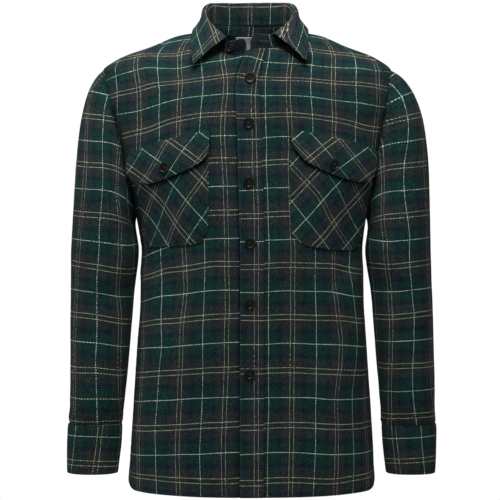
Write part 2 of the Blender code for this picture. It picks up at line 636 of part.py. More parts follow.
# ---------------------------------------------------------------- the shirt
def build():
    clear_scene()
    group = bpy.data.collections.new("flannel_shirt")
    bpy.context.scene.collection.children.link(group)
    cloth = material("flannel", COLOUR["flannel"], 0.9)
    tape = material("label", COLOUR["label"], 0.7)
    resin = material("button", COLOUR["button"], 0.35)
    chest = (0, 0, -300)

    fronts = {side: front_points(side) for side in (-1, 1)}
    names = {-1: "right", 1: "left"}
    for side, points in fronts.items():
        bm = grid_mesh(points)
        face_away(bm, chest)
        wall(f"{names[side]}_front", bm, CLOTH, cloth, group)

    back = back_points()
    bm = grid_mesh(back)
    face_away(bm, chest)
    wall("back", bm, CLOTH, cloth, group)

    strip = []
    for height in HEIGHTS:
        edges = row_of(EDGES, EDGE, height)
        strip.append(body_row(1, height, np.linspace(edges["placket_from"], edges["placket_to"], 4)))
    strip = np.array(strip)
    bm = grid_mesh(strip)
    face_away(bm, chest)
    lift(bm, LIFT + DOUBLE)
    wall("placket", bm, DOUBLE, cloth, group)

    for side in (-1, 1):
        seam = FLAP_SEAM[side]

        def flap_lift(co, seam=seam):
            below = distance_below(seam, co[0], co[2])
            over_pocket = curve([0, 14, 30, 90], [0, CLOTH + LIFT, CLOTH + LIFT + 1, CLOTH + LIFT + FLAP_STANDS], below)
            return LIFT + DOUBLE + float(over_pocket)

        bm = grid_mesh(fronts[side])
        face_away(bm, chest)
        lift(bm, LIFT + CLOTH)
        trim(bm, POCKET[side])
        wall(f"{names[side]}_pocket", bm, CLOTH, cloth, group)

        bm = grid_mesh(fronts[side])
        face_away(bm, chest)
        bmesh.ops.subdivide_edges(bm, edges=bm.edges[:], cuts=1, use_grid_fill=True)
        bm.normal_update()
        lift(bm, flap_lift)
        trim(bm, FLAP[side])
        wall(f"{names[side]}_flap", bm, DOUBLE, cloth, group)

        at, normal = nearest(fronts[side], *FLAP_BUTTON[side])
        button(f"button_{names[side]}_flap", at + normal * (flap_lift(at) + 1.2), normal, BUTTON_DIA, resin, group)

    left, right, bottom, top = NECK_LABEL
    bm = grid_mesh(back)
    face_away(bm, chest)
    lift(bm, -(CLOTH + LIFT))
    drop_faces(bm, lambda co: co[1] > 0)
    trim(bm, [(left, bottom), (right, bottom), (right, top), (left, top)])
    wall("neck_label", bm, LABEL, tape, group)

    around = 2 * WITHIN
    for side in (-1, 1):
        sleeve = sleeve_points(side, around, 7, 7)
        bm = grid_mesh(sleeve, closed=True)
        face_away(bm, (side * 235, 0, -350))
        wall(f"{names[side]}_sleeve", bm, CLOTH, cloth, group)

        cuff = cuff_points(side, 24, 2)
        bm = grid_mesh(cuff)
        face_away(bm, (side * 250, -14, -667))
        wall(f"{names[side]}_cuff", bm, DOUBLE, cloth, group)
        at = (cuff[1, -2] + cuff[1, -3]) / 2
        normal = np.cross(cuff[1, -2] - cuff[1, -3], cuff[2, -2] - cuff[1, -2])
        normal *= np.sign(normal @ (at - np.array([side * 250, -14, at[2]])))
        normal /= np.linalg.norm(normal)
        button(f"button_{names[side]}_cuff", at + normal * 0.6, normal, SMALL_BUTTON_DIA, resin, group)

        strip = sleeve[-5:, 12:14].copy()
        strip[-1] += (strip[-2] - strip[-1]) * 0.07
        bm = grid_mesh(strip)
        face_away(bm, (side * 245, -5, -560))
        lift(bm, LIFT + CLOTH)
        wall(f"{names[side]}_sleeve_placket", bm, CLOTH, cloth, group)

    stand = stand_points(37, 2)
    bm = grid_mesh(stand)
    face_away(bm, (0, -10, 0))
    wall("collar_stand", bm, DOUBLE, cloth, group)

    leaf = leaf_points(27, 8)
    bm = grid_mesh(leaf)
    # The roll faces up and out, so its top decides.
    crown = max(bm.faces, key=lambda f: f.calc_center_median().z)
    if crown.normal.z < 0:
        bmesh.ops.reverse_faces(bm, faces=bm.faces)
        bm.normal_update()
    wall("collar", bm, CLOTH, cloth, group)

    for i, (x, z) in enumerate(FRONT_BUTTONS):
        at, normal = nearest(np.array(strip_of_placket()), x, z)
        button(f"button_front_{i + 1}", at + normal * (LIFT + DOUBLE + 0.5), normal, BUTTON_DIA, resin, group)

    j = 1 + int(np.argmin(np.abs(stand[0, 1:-1, 0] - COLLAR_BUTTON) + 1e3 * (stand[0, 1:-1, 1] > 0)))
    at = stand[1, j]
    normal = np.cross(stand[1, j + 1] - stand[1, j - 1], stand[2, j] - stand[0, j])
    normal *= np.sign(-normal[1])
    normal /= np.linalg.norm(normal)
    button("button_collar", at + normal * 0.5, normal, SMALL_BUTTON_DIA, resin, group)


def strip_of_placket():
    rows = []
    for height in HEIGHTS:
        edges = row_of(EDGES, EDGE, height)
        rows.append(body_row(1, height, np.linspace(edges["placket_from"], edges["placket_to"], 4)))
    return rows


build()
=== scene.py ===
"""A long-sleeved flannel shirt, filled out with no wearer, as it looks: creased cloth with its checks, its
seams, stitches and buttons. Millimetres inside, metres in the scene. +Z is up and the fronts face -Y."""

import json
import math

import bmesh
import bpy
import numpy as np
from mathutils import Matrix, Quaternion, Vector
from mathutils.bvhtree import BVHTree

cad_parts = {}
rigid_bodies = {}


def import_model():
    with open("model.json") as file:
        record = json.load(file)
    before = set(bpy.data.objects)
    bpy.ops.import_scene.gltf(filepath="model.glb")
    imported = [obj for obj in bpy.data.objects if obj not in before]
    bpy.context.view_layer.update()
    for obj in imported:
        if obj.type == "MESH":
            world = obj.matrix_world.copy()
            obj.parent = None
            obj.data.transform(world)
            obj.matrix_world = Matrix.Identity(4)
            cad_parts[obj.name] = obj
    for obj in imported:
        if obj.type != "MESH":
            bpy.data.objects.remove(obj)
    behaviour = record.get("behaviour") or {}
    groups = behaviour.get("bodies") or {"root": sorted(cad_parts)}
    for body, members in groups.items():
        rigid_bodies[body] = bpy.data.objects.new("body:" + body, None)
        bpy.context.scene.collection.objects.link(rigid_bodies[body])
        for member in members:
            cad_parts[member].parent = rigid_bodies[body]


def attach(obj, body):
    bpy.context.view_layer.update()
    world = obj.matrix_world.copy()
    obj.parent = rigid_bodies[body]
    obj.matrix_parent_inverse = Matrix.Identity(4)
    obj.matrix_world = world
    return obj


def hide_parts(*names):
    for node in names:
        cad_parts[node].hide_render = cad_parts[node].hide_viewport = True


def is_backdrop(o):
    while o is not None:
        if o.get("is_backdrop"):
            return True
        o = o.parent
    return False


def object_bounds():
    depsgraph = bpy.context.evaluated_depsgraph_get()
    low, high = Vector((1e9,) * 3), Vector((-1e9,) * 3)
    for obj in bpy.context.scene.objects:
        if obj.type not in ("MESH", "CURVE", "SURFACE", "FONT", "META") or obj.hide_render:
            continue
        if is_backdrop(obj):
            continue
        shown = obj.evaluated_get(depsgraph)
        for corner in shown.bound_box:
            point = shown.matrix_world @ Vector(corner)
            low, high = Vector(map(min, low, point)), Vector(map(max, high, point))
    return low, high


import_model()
CAD_LOW, CAD_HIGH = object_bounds()
CAD_LOW, CAD_HIGH = list(CAD_LOW), list(CAD_HIGH)

MM = 0.001

# ---------------------------------------------------------------- sizes, in millimetres
CLOTH = 2.0  # wall of one layer
DOUBLE = 2.4  # wall of two layers sewn together: placket, flaps, cuffs, stand, collar
LABEL = 1.0
SEAM = 0.5  # between pieces that are sewn edge to edge
SHARP_SEAM = 2.3  # and along the shoulder, where their walls lean together
LIFT = 0.7  # between a panel and what lies on it

# The body, ring by ring from the hem up to the neck seam. "height" is the length of cloth above the hem,
# "middle" moves a ring sideways, "half" is its half width, then come the heights of its side, front and
# back, its depth to the front and back, and "round": 2 is an ellipse and 3 is boxier.
RING = ("height", "middle", "half", "z_side", "z_front", "z_back", "y_front", "y_back", "round")
BODY = np.array([
    (0, 2.6, 197.5, -727, -733, -731, -108, 104, 3.0),
    (77, 2.8, 193.5, -656, -656, -656, -107, 102, 3.0),
    (213, 3.0, 184.5, -520, -520, -520, -107, 100, 3.0),
    (319, 3.3, 177.6, -414, -414, -414, -107, 99, 3.0),
    (383, 3.2, 176.6, -350, -350, -350, -108, 99, 3.0),
    (435, 2.0, 183.0, -298, -298, -298, -110, 100, 2.9),
    (513, 0.0, 206.0, -220, -220, -220, -111, 102, 2.7),
    (589, -2.0, 224.0, -144, -144, -144, -106, 102, 2.3),
    (633, -4.0, 231.0, -100, -101, -100, -99, 97, 2.2),
    (669, -4.5, 229.5, -64, -74, -62, -93, 90, 1.9),
    (682, -3.5, 203.0, -44, -62, -50, -90, 83, 1.7),
    (694, -2.0, 155.0, -26, -51, -38, -87, 75, 1.8),
    (707, -1.0, 110.0, -8, -43, -24, -84, 66, 1.85),
    (718, 0.0, 73.0, -2, -37, -10, -81, 57, 2.0),
], float)
NECK_LEAN = 6.0  # the neckline sits this much higher at the wearer's left, as the top has fallen open
NECK_HEIGHT = 718.0
UNDERARM, SHOULDER_TIP = 435.0, 669.0  # cloth heights of the ends of the armhole
ARMHOLE = {-1: (55.0, 9.0, 55.0), 1: (49.0, 9.0, 55.0)}  # width in front, its lower fullness, and behind

# The largest folds of the body: which side, the cloth heights and the distances from the middle of the front
# between which each runs, its width, and how far it stands out or, below zero, in.
BODY_FOLD = ("side", "from_height", "to_height", "from_along", "to_along", "width", "depth")
BODY_FOLDS = [
    (-1, 235, 478, 120, 102, 25, -5.5),
    (-1, 190, 450, 168, 152, 24, 4.0),
    (-1, 20, 230, 78, 92, 28, -3.0),
    (1, 290, 505, 138, 160, 25, -5.5),
    (1, 100, 330, 96, 108, 28, -3.5),
    (1, 190, 420, 176, 186, 24, 3.5),
    (-1, 120, 430, 322, 352, 30, -6.0),
    (-1, 300, 600, 405, 392, 32, -4.5),
    (1, 90, 400, 330, 350, 30, -6.0),
    (1, 260, 560, 384, 410, 32, -4.0),
    (1, 30, 260, 430, 425, 34, -4.0),
]

# Front edges, by height: the wearer's right front runs on under the placket, and the top falls open.
EDGE = ("height", "right_front", "placket_from", "placket_to", "left_front")
EDGES = np.array([
    (0, -15, -17.6, 19.2, 17.0),
    (640, -15, -17.6, 19.2, 17.0),
    (665, -14, -15.6, 20.2, 18.0),
    (690, -6, -10.6, 22.2, 20.0),
    (718, 6, -4.6, 27.2, 25.0),
], float)

# Sleeves, ring by ring from the underarm down, measured from the middle: inner and outer edge, front and
# back depth.
SLEEVE_RING = ("z", "inner", "outer", "y_front", "y_back")
SLEEVES = {
    -1: np.array([
        (-318, 182.0, 282.5, -74, 72),
        (-350, 177.6, 284.8, -76, 74),
        (-414, 183.4, 286.4, -72, 68),
        (-498, 192.0, 288.5, -67, 58),
        (-587, 200.3, 289.6, -60, 42),
        (-620, 204.0, 289.6, -53, 30),
        (-628, 204.6, 289.8, -49, 24),
        (-656, 206.0, 290.7, -48, 22),
        (-704, 212.0, 290.9, -48, 20),
    ], float),
    1: np.array([
        (-318, 187.5, 288.5, -74, 72),
        (-350, 184.0, 289.5, -76, 74),
        (-414, 191.5, 291.5, -72, 68),
        (-498, 199.5, 294.5, -67, 58),
        (-587, 208.3, 295.5, -60, 42),
        (-620, 211.3, 295.8, -53, 30),
        (-628, 211.6, 296.0, -49, 24),
        (-656, 212.8, 296.0, -48, 22),
        (-704, 218.0, 295.0, -48, 20),
    ], float),
}
SLEEVE_ROUND = 2.2
# How the cloth leaves the top of the armhole: outwards, downwards, and how far it holds that way.
SLEEVE_CAP = {-1: (0.80, 0.62, 0.66), 1: (0.92, 0.42, 0.80)}
# The largest dents of the sleeves: side, height and turn of the middle, its two widths, and its depth.
SLEEVE_FOLD = ("side", "z", "turn", "width", "turn_width", "depth")
SLEEVE_FOLDS = [
    (-1, -425, 60, 42, 42, -5.0),
    (-1, -520, 120, 40, 45, -3.5),
    (-1, -400, 280, 45, 45, -5.0),
    (1, -410, 65, 42, 42, -5.0),
    (1, -500, 125, 40, 45, -3.5),
    (1, -440, 285, 45, 45, -5.0),
]
CUFF_TOP, CUFF_BOTTOM = -629.0, -705.0
CUFF_OVERLAP = 3.4  # how far the end of the cuff stands off the layer below it

# Collar stand and leaf, by the fraction of the way round the neck from the middle of the back to the end:
# at the front the stand leans on the neckline, and the leaf rolls over and falls to its point.
STAND = ("along", "rise", "lean")
STAND_TABLE = np.array([
    (0.0, 17.5, 1.0),
    (1.0, 13.0, 1.0),
    (1.5, 16.0, 0.0),
    (1.66, 18.5, -0.5),
    (1.84, 23.0, -1.0),
    (2.0, 24.0, -1.0),
], float)
STAND_END = 11.0  # radius of its two rounded ends
LEAF = ("along", "fold", "bulge", "roll_x", "roll_y", "roll_z", "edge_x", "edge_y", "edge_z")
LEAF_TABLE = np.array([
    (0.00, 5.0, 2.5, 0, 58, 45, 0, 82, -12),
    (0.22, 5.0, 2.5, 44, 48, 45, 55, 69, -8),
    (0.40, 5.0, 0.0, 67, 24, 44, 83, 36, -1),
    (0.54, 4.5, -2.5, 73, -4, 34, 92, -2, 4),
    (0.70, 3.8, -1.5, 70, -38, 22, 93, -41, -9),
    (0.85, 3.2, 2.0, 57.5, -61, 6.5, 91.5, -71, -30),
    (1.00, 2.6, 2.5, 38.0, -77.5, -10.0, 88.5, -88, -53),
], float)
LEAF_FROM = 38.0  # how far along the neck from the middle of the front the leaf starts
LEAF_LEAN = 6.0  # the front of the left leaf lies this much higher than the right one

# Outlines on the fronts, as x and z pairs, clockwise or not.
POCKET = {
    -1: [(-65, -182), (-65, -311), (-78, -334), (-157, -341), (-170, -285), (-184, -218)],
    1: [(62, -182), (63, -318), (85, -337), (125, -343), (164, -347), (178, -321), (195, -214)],
}
FLAP = {
    -1: [(-65, -158), (-63, -193), (-73, -204), (-87, -214), (-117, -227), (-148, -239), (-164, -241),
         (-180, -237), (-191, -221), (-189, -196), (-169, -187), (-123, -169)],
    1: [(64, -158), (64, -173), (70, -187), (83, -203), (105, -215), (149, -234), (175, -238), (188, -230),
        (196, -216), (196, -191), (184, -185), (162, -176), (128, -168), (83, -159)],
}
FLAP_SEAM = {-1: ((-65, -158), (-189, -196)), 1: ((64, -158), (196, -191))}  # ends of the sewn edge
FLAP_STANDS = 5.0  # how far the free edge of a flap stands off
NECK_LABEL = (-23, 23, -44, -11.5)  # left, right, bottom, top

BUTTON_DIA, BUTTON_THICK = 17.0, 3.2
FRONT_BUTTONS = [(0.6, -75.7), (-2.3, -145.7), (-1.6, -237.5), (0.0, -332.7), (0.0, -427.6), (0.0, -538.3)]
COLLAR_BUTTON = -29.7
FLAP_BUTTON = {-1: (-132.9, -215.2), 1: (131.4, -210.2)}
SMALL_BUTTON_DIA = 13.0

COLOUR = {
    "flannel": (0.022, 0.045, 0.036, 1),
    "label": (0.75, 0.76, 0.76, 1),
    "button": (0.012, 0.018, 0.014, 1),
}


# ---------------------------------------------------------------- curves
def curve(xs, ys, at):
    """A smooth curve through the rows that makes no new highs or lows."""
    xs, ys = np.asarray(xs, float), np.asarray(ys, float)
    at = np.clip(np.asarray(at, float), xs[0], xs[-1])
    step = np.diff(xs)
    slope = np.diff(ys) / step
    tangent = np.zeros(len(xs))
    tangent[0], tangent[-1] = slope[0], slope[-1]
    for i in range(1, len(xs) - 1):
        if slope[i - 1] * slope[i] > 0:
            w0, w1 = 2 * step[i] + step[i - 1], step[i] + 2 * step[i - 1]
            tangent[i] = (w0 + w1) / (w0 / slope[i - 1] + w1 / slope[i])
    i = np.clip(np.searchsorted(xs, at, side="right") - 1, 0, len(xs) - 2)
    t = (at - xs[i]) / step[i]
    return (
        (1 + 2 * t) * (1 - t) ** 2 * ys[i]
        + t * (1 - t) ** 2 * step[i] * tangent[i]
        + t**2 * (3 - 2 * t) * ys[i + 1]
        - t**2 * (1 - t) * step[i] * tangent[i + 1]
    )


def row_of(table, names, at):
    return {name: float(curve(table[:, 0], table[:, k], at)) for k, name in enumerate(names)}


def quarter(half, depth, roundness):
    """Quarter of a ring, from its front or back to its side, with the length along it."""
    angle = np.linspace(0, math.pi / 2, 241)
    x = half * np.sin(angle) ** (2 / roundness)
    y = depth * np.cos(angle) ** (2 / roundness)
    length = np.concatenate([[0], np.cumsum(np.hypot(np.diff(x), np.diff(y)))])
    return x, y, length


def quarter_lengths(height):
    r = row_of(BODY, RING, height)
    return (quarter(r["half"], -r["y_front"], r["round"])[2][-1],
            quarter(r["half"], r["y_back"], r["round"])[2][-1])


def body_folds(side, height, along):
    """How far the folds move the body out, on one side, at one height."""
    total = np.zeros_like(np.asarray(along, float))
    for fold in BODY_FOLDS:
        f = dict(zip(BODY_FOLD, fold, strict=True))
        part = (height - f["from_height"]) / (f["to_height"] - f["from_height"])
        if f["side"] != side or not 0 < part < 1:
            continue
        line = f["from_along"] + (f["to_along"] - f["from_along"]) * part
        total += f["depth"] * math.sin(math.pi * part) ** 2 * np.exp(-(((along - line) / f["width"]) ** 2))
    return total


def body_row(side, height, along):
    """Points of the body at one height, "along" millimetres from the middle of the front towards a side.
    Below zero they lie past the middle, and past the side they lie on the back."""
    r = row_of(BODY, RING, height)
    fx, fy, fl = quarter(r["half"], -r["y_front"], r["round"])
    bx, by, bl = quarter(r["half"], r["y_back"], r["round"])
    along = np.asarray(along, float)
    sign = np.sign(along) + (along == 0)
    s = np.abs(along)
    front = s <= fl[-1]
    back_s = np.clip(fl[-1] + bl[-1] - s, 0, bl[-1])
    x = np.where(front, np.interp(s, fl, fx), np.interp(back_s, bl, bx)) * sign * side
    y = np.where(front, -np.interp(s, fl, fy), np.interp(back_s, bl, by))
    part = np.where(front, s / fl[-1], 1 + (s - fl[-1]) / bl[-1])
    ends = np.where(front, r["z_front"], r["z_back"])
    z = r["z_side"] + (ends - r["z_side"]) * (1 - np.abs(np.sin(np.clip(part, 0, 2) * math.pi / 2)) ** 3)
    top = np.clip((height - 669) / (NECK_HEIGHT - 669), 0, 1)
    z = z + np.where(front, NECK_LEAN * top * np.tanh((x + 10) / 11) * np.cos(part * math.pi / 2) ** 2, 0)
    depth = np.where(front, r["y_front"], r["y_back"])
    out = np.stack([x / r["half"] ** 2, y / depth**2], axis=-1)
    out /= np.linalg.norm(out, axis=-1, keepdims=True)
    push = body_folds(side, height, along)
    return np.stack([x + r["middle"] + out[..., 0] * push, y + out[..., 1] * push, z], axis=-1)


def armhole_height(angle):
    """Cloth height of the armhole seam, from the underarm at 0 to the tip of the shoulder at pi."""
    return (UNDERARM + SHOULDER_TIP) / 2 - (SHOULDER_TIP - UNDERARM) / 2 * math.cos(angle)


def armhole_inset(side, height):
    """How far the seam lies in front of the side line and behind it, at this cloth height."""
    if height <= UNDERARM or height >= SHOULDER_TIP:
        return 0.0, 0.0
    c = (height - (UNDERARM + SHOULDER_TIP) / 2) / ((SHOULDER_TIP - UNDERARM) / 2)
    angle = math.acos(max(-1.0, min(1.0, -c)))
    front, lower, back = ARMHOLE[side]
    width = math.sin(angle) ** 0.85
    return (front + lower * math.cos(angle)) * width, back * width


def side_gap(height):
    """Half of the gap between front and back: none on the armhole, where the sleeve keeps it."""
    if height >= SHOULDER_TIP:
        return SHARP_SEAM / 2
    return SEAM * 0.65 if height <= UNDERARM else 0.0


def panel_heights(below, within, above):
    """Cloth heights of the rows: closer together where the armhole turns."""
    low = list(np.linspace(0, UNDERARM, below + 1))
    middle = [armhole_height(a) for a in np.linspace(0, math.pi, within + 1)[1:-1]]
    high = list(np.linspace(SHOULDER_TIP, NECK_HEIGHT, above + 1))
    return low + middle + high


# ---------------------------------------------------------------- the sheets as tables of points
BELOW, WITHIN, ABOVE = 10, 9, 3
HEIGHTS = panel_heights(BELOW, WITHIN, ABOVE)
FRONT_COLUMNS, BACK_COLUMNS = 10, 19


def front_points(side):
    rows = []
    for height in HEIGHTS:
        edges = row_of(EDGES, EDGE, height)
        start = edges["right_front"] if side < 0 else edges["left_front"]
        inset = armhole_inset(side, height)[0]
        end = quarter_lengths(height)[0] - inset - side_gap(height)
        spread = np.linspace(0, 1, FRONT_COLUMNS)
        rows.append(body_row(side, height, start + (end - start) * spread))
    return np.array(rows)


def back_points():
    rows = []
    for height in HEIGHTS:
        front, back = quarter_lengths(height)
        halves = []
        for side in (-1, 1):
            inset = armhole_inset(side, height)[1]
            start = front + inset + side_gap(height)
            spread = np.linspace(0, 1, (BACK_COLUMNS + 1) // 2)
            halves.append(body_row(side, height, start + (front + back - start) * spread))
        rows.append(np.concatenate([halves[0], halves[1][::-1][1:]]))
    return np.array(rows)


def armhole_ring(side, count):
    """The seam, from the underarm up the front, over the tip and down the back."""
    points = []
    for i in range(count):
        turn = 2 * math.pi * i / count
        angle = turn if turn <= math.pi else 2 * math.pi - turn
        height = armhole_height(angle)
        length = quarter_lengths(height)[0]
        front, back = armhole_inset(side, height)
        along = length - front if turn <= math.pi else length + back
        points.append(body_row(side, height, [along])[0])
    return np.array(points)


def sleeve_ring(side, z, count, out=0.0, turns=None):
    """One ring of the sleeve: 0 is its inner line, a quarter of a turn on is its front."""
    r = row_of(SLEEVES[side][::-1], SLEEVE_RING, z)
    turn = np.linspace(0, 2 * math.pi, count + 1)[:-1] if turns is None else np.asarray(turns)
    half = (r["outer"] - r["inner"]) / 2 + out
    middle = (r["outer"] + r["inner"]) / 2
    c, s = np.cos(turn), np.sin(turn)
    power = 2 / SLEEVE_ROUND
    x = middle - half * np.sign(c) * np.abs(c) ** power
    centre = (r["y_front"] + r["y_back"]) / 2
    depth = (r["y_back"] - r["y_front"]) / 2 + out
    y = centre - depth * np.sign(s) * np.abs(s) ** power
    push = np.zeros_like(x)
    for fold in SLEEVE_FOLDS:
        f = dict(zip(SLEEVE_FOLD, fold, strict=True))
        if f["side"] == side:
            away = (np.degrees(turn) - f["turn"] + 180) % 360 - 180
            push += f["depth"] * np.exp(-(((z - f["z"]) / f["width"]) ** 2) - (away / f["turn_width"]) ** 2)
    x, y = x - push * c, y - push * s
    return np.stack([side * x, y, np.full_like(x, z)], axis=-1)


def sleeve_points(side, count, cap_rows, arm_rows):
    top_z = SLEEVES[side][0, 0]
    seam = armhole_ring(side, count)
    below = sleeve_ring(side, top_z, count)
    down = sleeve_ring(side, top_z - 1, count) - below
    turn = np.linspace(0, 2 * math.pi, count + 1)[:-1]
    over = (1 - np.cos(turn)) / 2
    outwards, downwards, hold = SLEEVE_CAP[side]
    leave = np.stack(
        [side * (0.40 + (outwards - 0.40) * over), -0.45 * np.sin(turn), -(0.92 + (downwards - 0.92) * over)], axis=-1
    )
    leave /= np.linalg.norm(leave, axis=1, keepdims=True)
    down /= np.linalg.norm(down, axis=1, keepdims=True)
    chord = np.linalg.norm(below - seam, axis=1, keepdims=True)
    rings = []
    for t in np.linspace(0, 1, cap_rows + 1):
        t = t**1.15
        ring = (
            (1 + 2 * t) * (1 - t) ** 2 * (seam + 1.5 * SEAM * leave)
            + t * (1 - t) ** 2 * (0.66 + (hold - 0.66) * over[:, None]) * chord * leave
            + t**2 * (3 - 2 * t) * below
            - t**2 * (1 - t) * 0.95 * chord * down
        )
        rings.append(ring)
    for z in np.linspace(top_z, CUFF_TOP + SEAM, arm_rows + 1)[1:]:
        rings.append(sleeve_ring(side, z, count))
    return np.array(rings)


def cuff_points(side, steps, rows):
    """A band that goes round once and laps over itself behind."""
    start, lap = math.radians(232), 2
    turns = start + np.arange(steps + lap + 1) * 2 * math.pi / steps
    out = -1.6 + CUFF_OVERLAP * np.clip(np.arange(steps + lap + 1) / steps, 0, 1)
    rings = []
    for z in np.linspace(CUFF_TOP, CUFF_BOTTOM, rows + 1):
        ring = sleeve_ring(side, z, 0, turns=turns)
        centre = sleeve_ring(side, z, 0, turns=[0, math.pi]).mean(axis=0)
        away = ring - centre
        away[:, 2] = 0
        away /= np.linalg.norm(away, axis=1, keepdims=True)
        rings.append(ring + away * out[:, None])
    return np.array(rings)


def neck_path(count, from_right, from_left, close=()):
    """Points of the neck seam from the wearer's right end, round the back, to the left end, with the
    fraction of a half that each lies from the front (0) to the back (2). "close" adds stops near the ends."""
    front, back = quarter_lengths(NECK_HEIGHT)
    half = front + back
    near = np.array([0.0, *close])
    stops = np.concatenate([
        from_right + near[:-1],
        np.linspace(from_right + near[-1], 2 * half - from_left - near[-1], count),
        (2 * half - from_left - near[:-1])[::-1],
    ])
    points = []
    for s in stops:
        side, along = (-1, s) if s <= half else (1, 2 * half - s)
        points.append(body_row(side, NECK_HEIGHT, [along])[0])
    fraction = np.minimum(stops, 2 * half - stops) / half * 2
    return np.array(points), fraction


def stand_shape(seam, fraction):
    """How far the stand rises and leans in at each point of the neck seam, and which way is in."""
    rise = curve(STAND_TABLE[:, 0], STAND_TABLE[:, 1], 2 - fraction)
    lean = curve(STAND_TABLE[:, 0], STAND_TABLE[:, 2], 2 - fraction)
    inward = np.array([0, -10, 0]) - seam
    inward[:, 2] = 0
    inward /= np.linalg.norm(inward, axis=1, keepdims=True)
    return rise, lean, inward


def stand_points(count, rows):
    seam, fraction = neck_path(count, 6.5, 1.0, close=(1.5, 4.0, 7.5, 12.0))
    rise, lean, inward = stand_shape(seam, fraction)
    steps = np.concatenate([[0], np.cumsum(np.linalg.norm(np.diff(seam, axis=0), axis=1))])
    ends = np.clip(np.minimum(steps, steps[-1] - steps), 0, STAND_END)
    rounding = 1 - (STAND_END - np.sqrt(STAND_END**2 - (STAND_END - ends) ** 2)) / rise * 1.15
    levels = []
    for t in np.linspace(0, 1, rows + 1):
        up = (2.2 * SEAM + rise * t * rounding)[:, None] * np.array([0, 0, 1])
        levels.append(seam + up + inward * (lean * t)[:, None])
    return np.array(levels)


def leaf_points(count, rows):
    """The leaf, from its seam on the stand up to the roll and down to its free edge."""
    stops = np.linspace(-1, 1, count)
    seam, fraction = neck_path(400, LEAF_FROM, LEAF_FROM)
    rise, lean, inward = stand_shape(seam, fraction)
    roots = seam + inward * (lean + DOUBLE)[:, None] + (rise + 3.8 * SEAM)[:, None] * np.array([0, 0, 1])
    columns = []
    for stop in stops:
        r = row_of(LEAF_TABLE, LEAF, abs(stop))
        higher = LEAF_LEAN * (stop > 0) * np.clip((abs(stop) - 0.55) / 0.45, 0, 1)
        sign = 1 if stop >= 0 else -1
        roll = np.array([sign * r["roll_x"], r["roll_y"], r["roll_z"] + higher])
        edge = np.array([sign * r["edge_x"], r["edge_y"], r["edge_z"] + higher])
        # Where the leaf leans out over the stand, its wall is below it and needs room.
        room = np.array([0, 0, (CLOTH + 0.6) * np.clip((abs(stop) - 0.42) / 0.2, 0, 1)])
        root = roots[np.argmin(np.hypot(*(seam - roll)[:, :2].T))] + room
        before, after = (row_of(LEAF_TABLE, LEAF, min(max(abs(stop) + d, 0), 1)) for d in (-0.03, 0.03))
        run = np.array([sign * (after["roll_x"] - before["roll_x"]), after["roll_y"] - before["roll_y"]])
        if abs(stop) < 0.03:
            run = np.array([1.0, 0.0])
        out = np.array([run[1], -run[0], 0.0]) / np.linalg.norm(run)
        if out @ (roll - np.array([0, -10, roll[2]])) < 0:
            out = -out
        radius = r["fold"]
        up = np.array([0, 0, 1.0])
        knots = [
            root,
            root * 0.45 + (roll - out * radius - up * radius) * 0.55,
            roll - out * radius * 0.72 - up * radius * 0.32,
            roll,
            roll + out * radius * 0.80 - up * radius * 0.45,
            roll * 0.55 + edge * 0.45 + out * r["bulge"] + up * 0.5,
            edge,
        ]
        knots = np.array(knots)
        length = np.concatenate([[0], np.cumsum(np.linalg.norm(np.diff(knots, axis=0), axis=1))])
        share = np.concatenate([
            np.linspace(0, length[3], rows // 2 + 1),
            np.linspace(length[3], length[-1], rows - rows // 2 + 1)[1:],
        ])
        columns.append(np.stack([curve(length, knots[:, k], share) for k in range(3)], axis=-1))
    return np.swapaxes(np.array(columns), 0, 1)
def nearest(points, x, z):
    """The point of a table of points at this x and z as seen from the front, and its normal."""
    rows, columns = points.shape[:2]
    best = None
    for i in range(rows - 1):
        for j in range(columns - 1):
            quad = [points[i, j], points[i, j + 1], points[i + 1, j + 1], points[i + 1, j]]
            for a, b, c in ((quad[0], quad[1], quad[2]), (quad[0], quad[2], quad[3])):
                m = np.array([[b[0] - a[0], c[0] - a[0]], [b[2] - a[2], c[2] - a[2]]])
                if abs(np.linalg.det(m)) < 1e-9:
                    continue
                u, v = np.linalg.solve(m, [x - a[0], z - a[2]])
                if u >= -1e-6 and v >= -1e-6 and u + v <= 1 + 1e-6:
                    p = a + u * (b - a) + v * (c - a)
                    if best is None or p[1] < best[0][1]:
                        n = np.cross(b - a, c - a)
                        n /= np.linalg.norm(n)
                        best = (p, -n if n[1] > 0 else n)
    return best


def distance_below(seam, x, z):
    """How far a point lies below the sewn edge of a flap."""
    (ax, az), (bx, bz) = seam
    if ax > bx:
        ax, az, bx, bz = bx, bz, ax, az
    length = math.hypot(bx - ax, bz - az)
    return ((bx - ax) * (az - z) + (bz - az) * (x - ax)) / length


# ---------------------------------------------------------------- the view, and grids of points
ELEVATION, DISTANCE, TARGET_Z, MM_PER_PIXEL = math.radians(3.5), 4500.0, -350.4, 1.6
CE, SE = math.cos(ELEVATION), math.sin(ELEVATION)


def to_view(p):
    """Where points in millimetres fall on the 500 by 500 picture."""
    p = np.asarray(p, float)
    dz = p[..., 2] - TARGET_Z
    k = DISTANCE / (DISTANCE + p[..., 1] * CE - dz * SE)
    return np.stack([250 + p[..., 0] * k / MM_PER_PIXEL, 250 - (dz * CE + p[..., 1] * SE) * k / MM_PER_PIXEL], -1)


def unit(v):
    return v / np.maximum(np.linalg.norm(v, axis=-1, keepdims=True), 1e-9)


def steps(n):
    return n


def grid_normals(p, closed=False, away=None):
    """Normals of a grid of points, and whether they had to be turned round to look away from the point."""
    du = np.roll(p, -1, 1) - np.roll(p, 1, 1) if closed else np.gradient(p, axis=1)
    n = unit(np.cross(du, np.gradient(p, axis=0)))
    flipped = False
    if away is not None and ((p - np.asarray(away, float)) * n).sum() < 0:
        n, flipped = -n, True
    return n, flipped


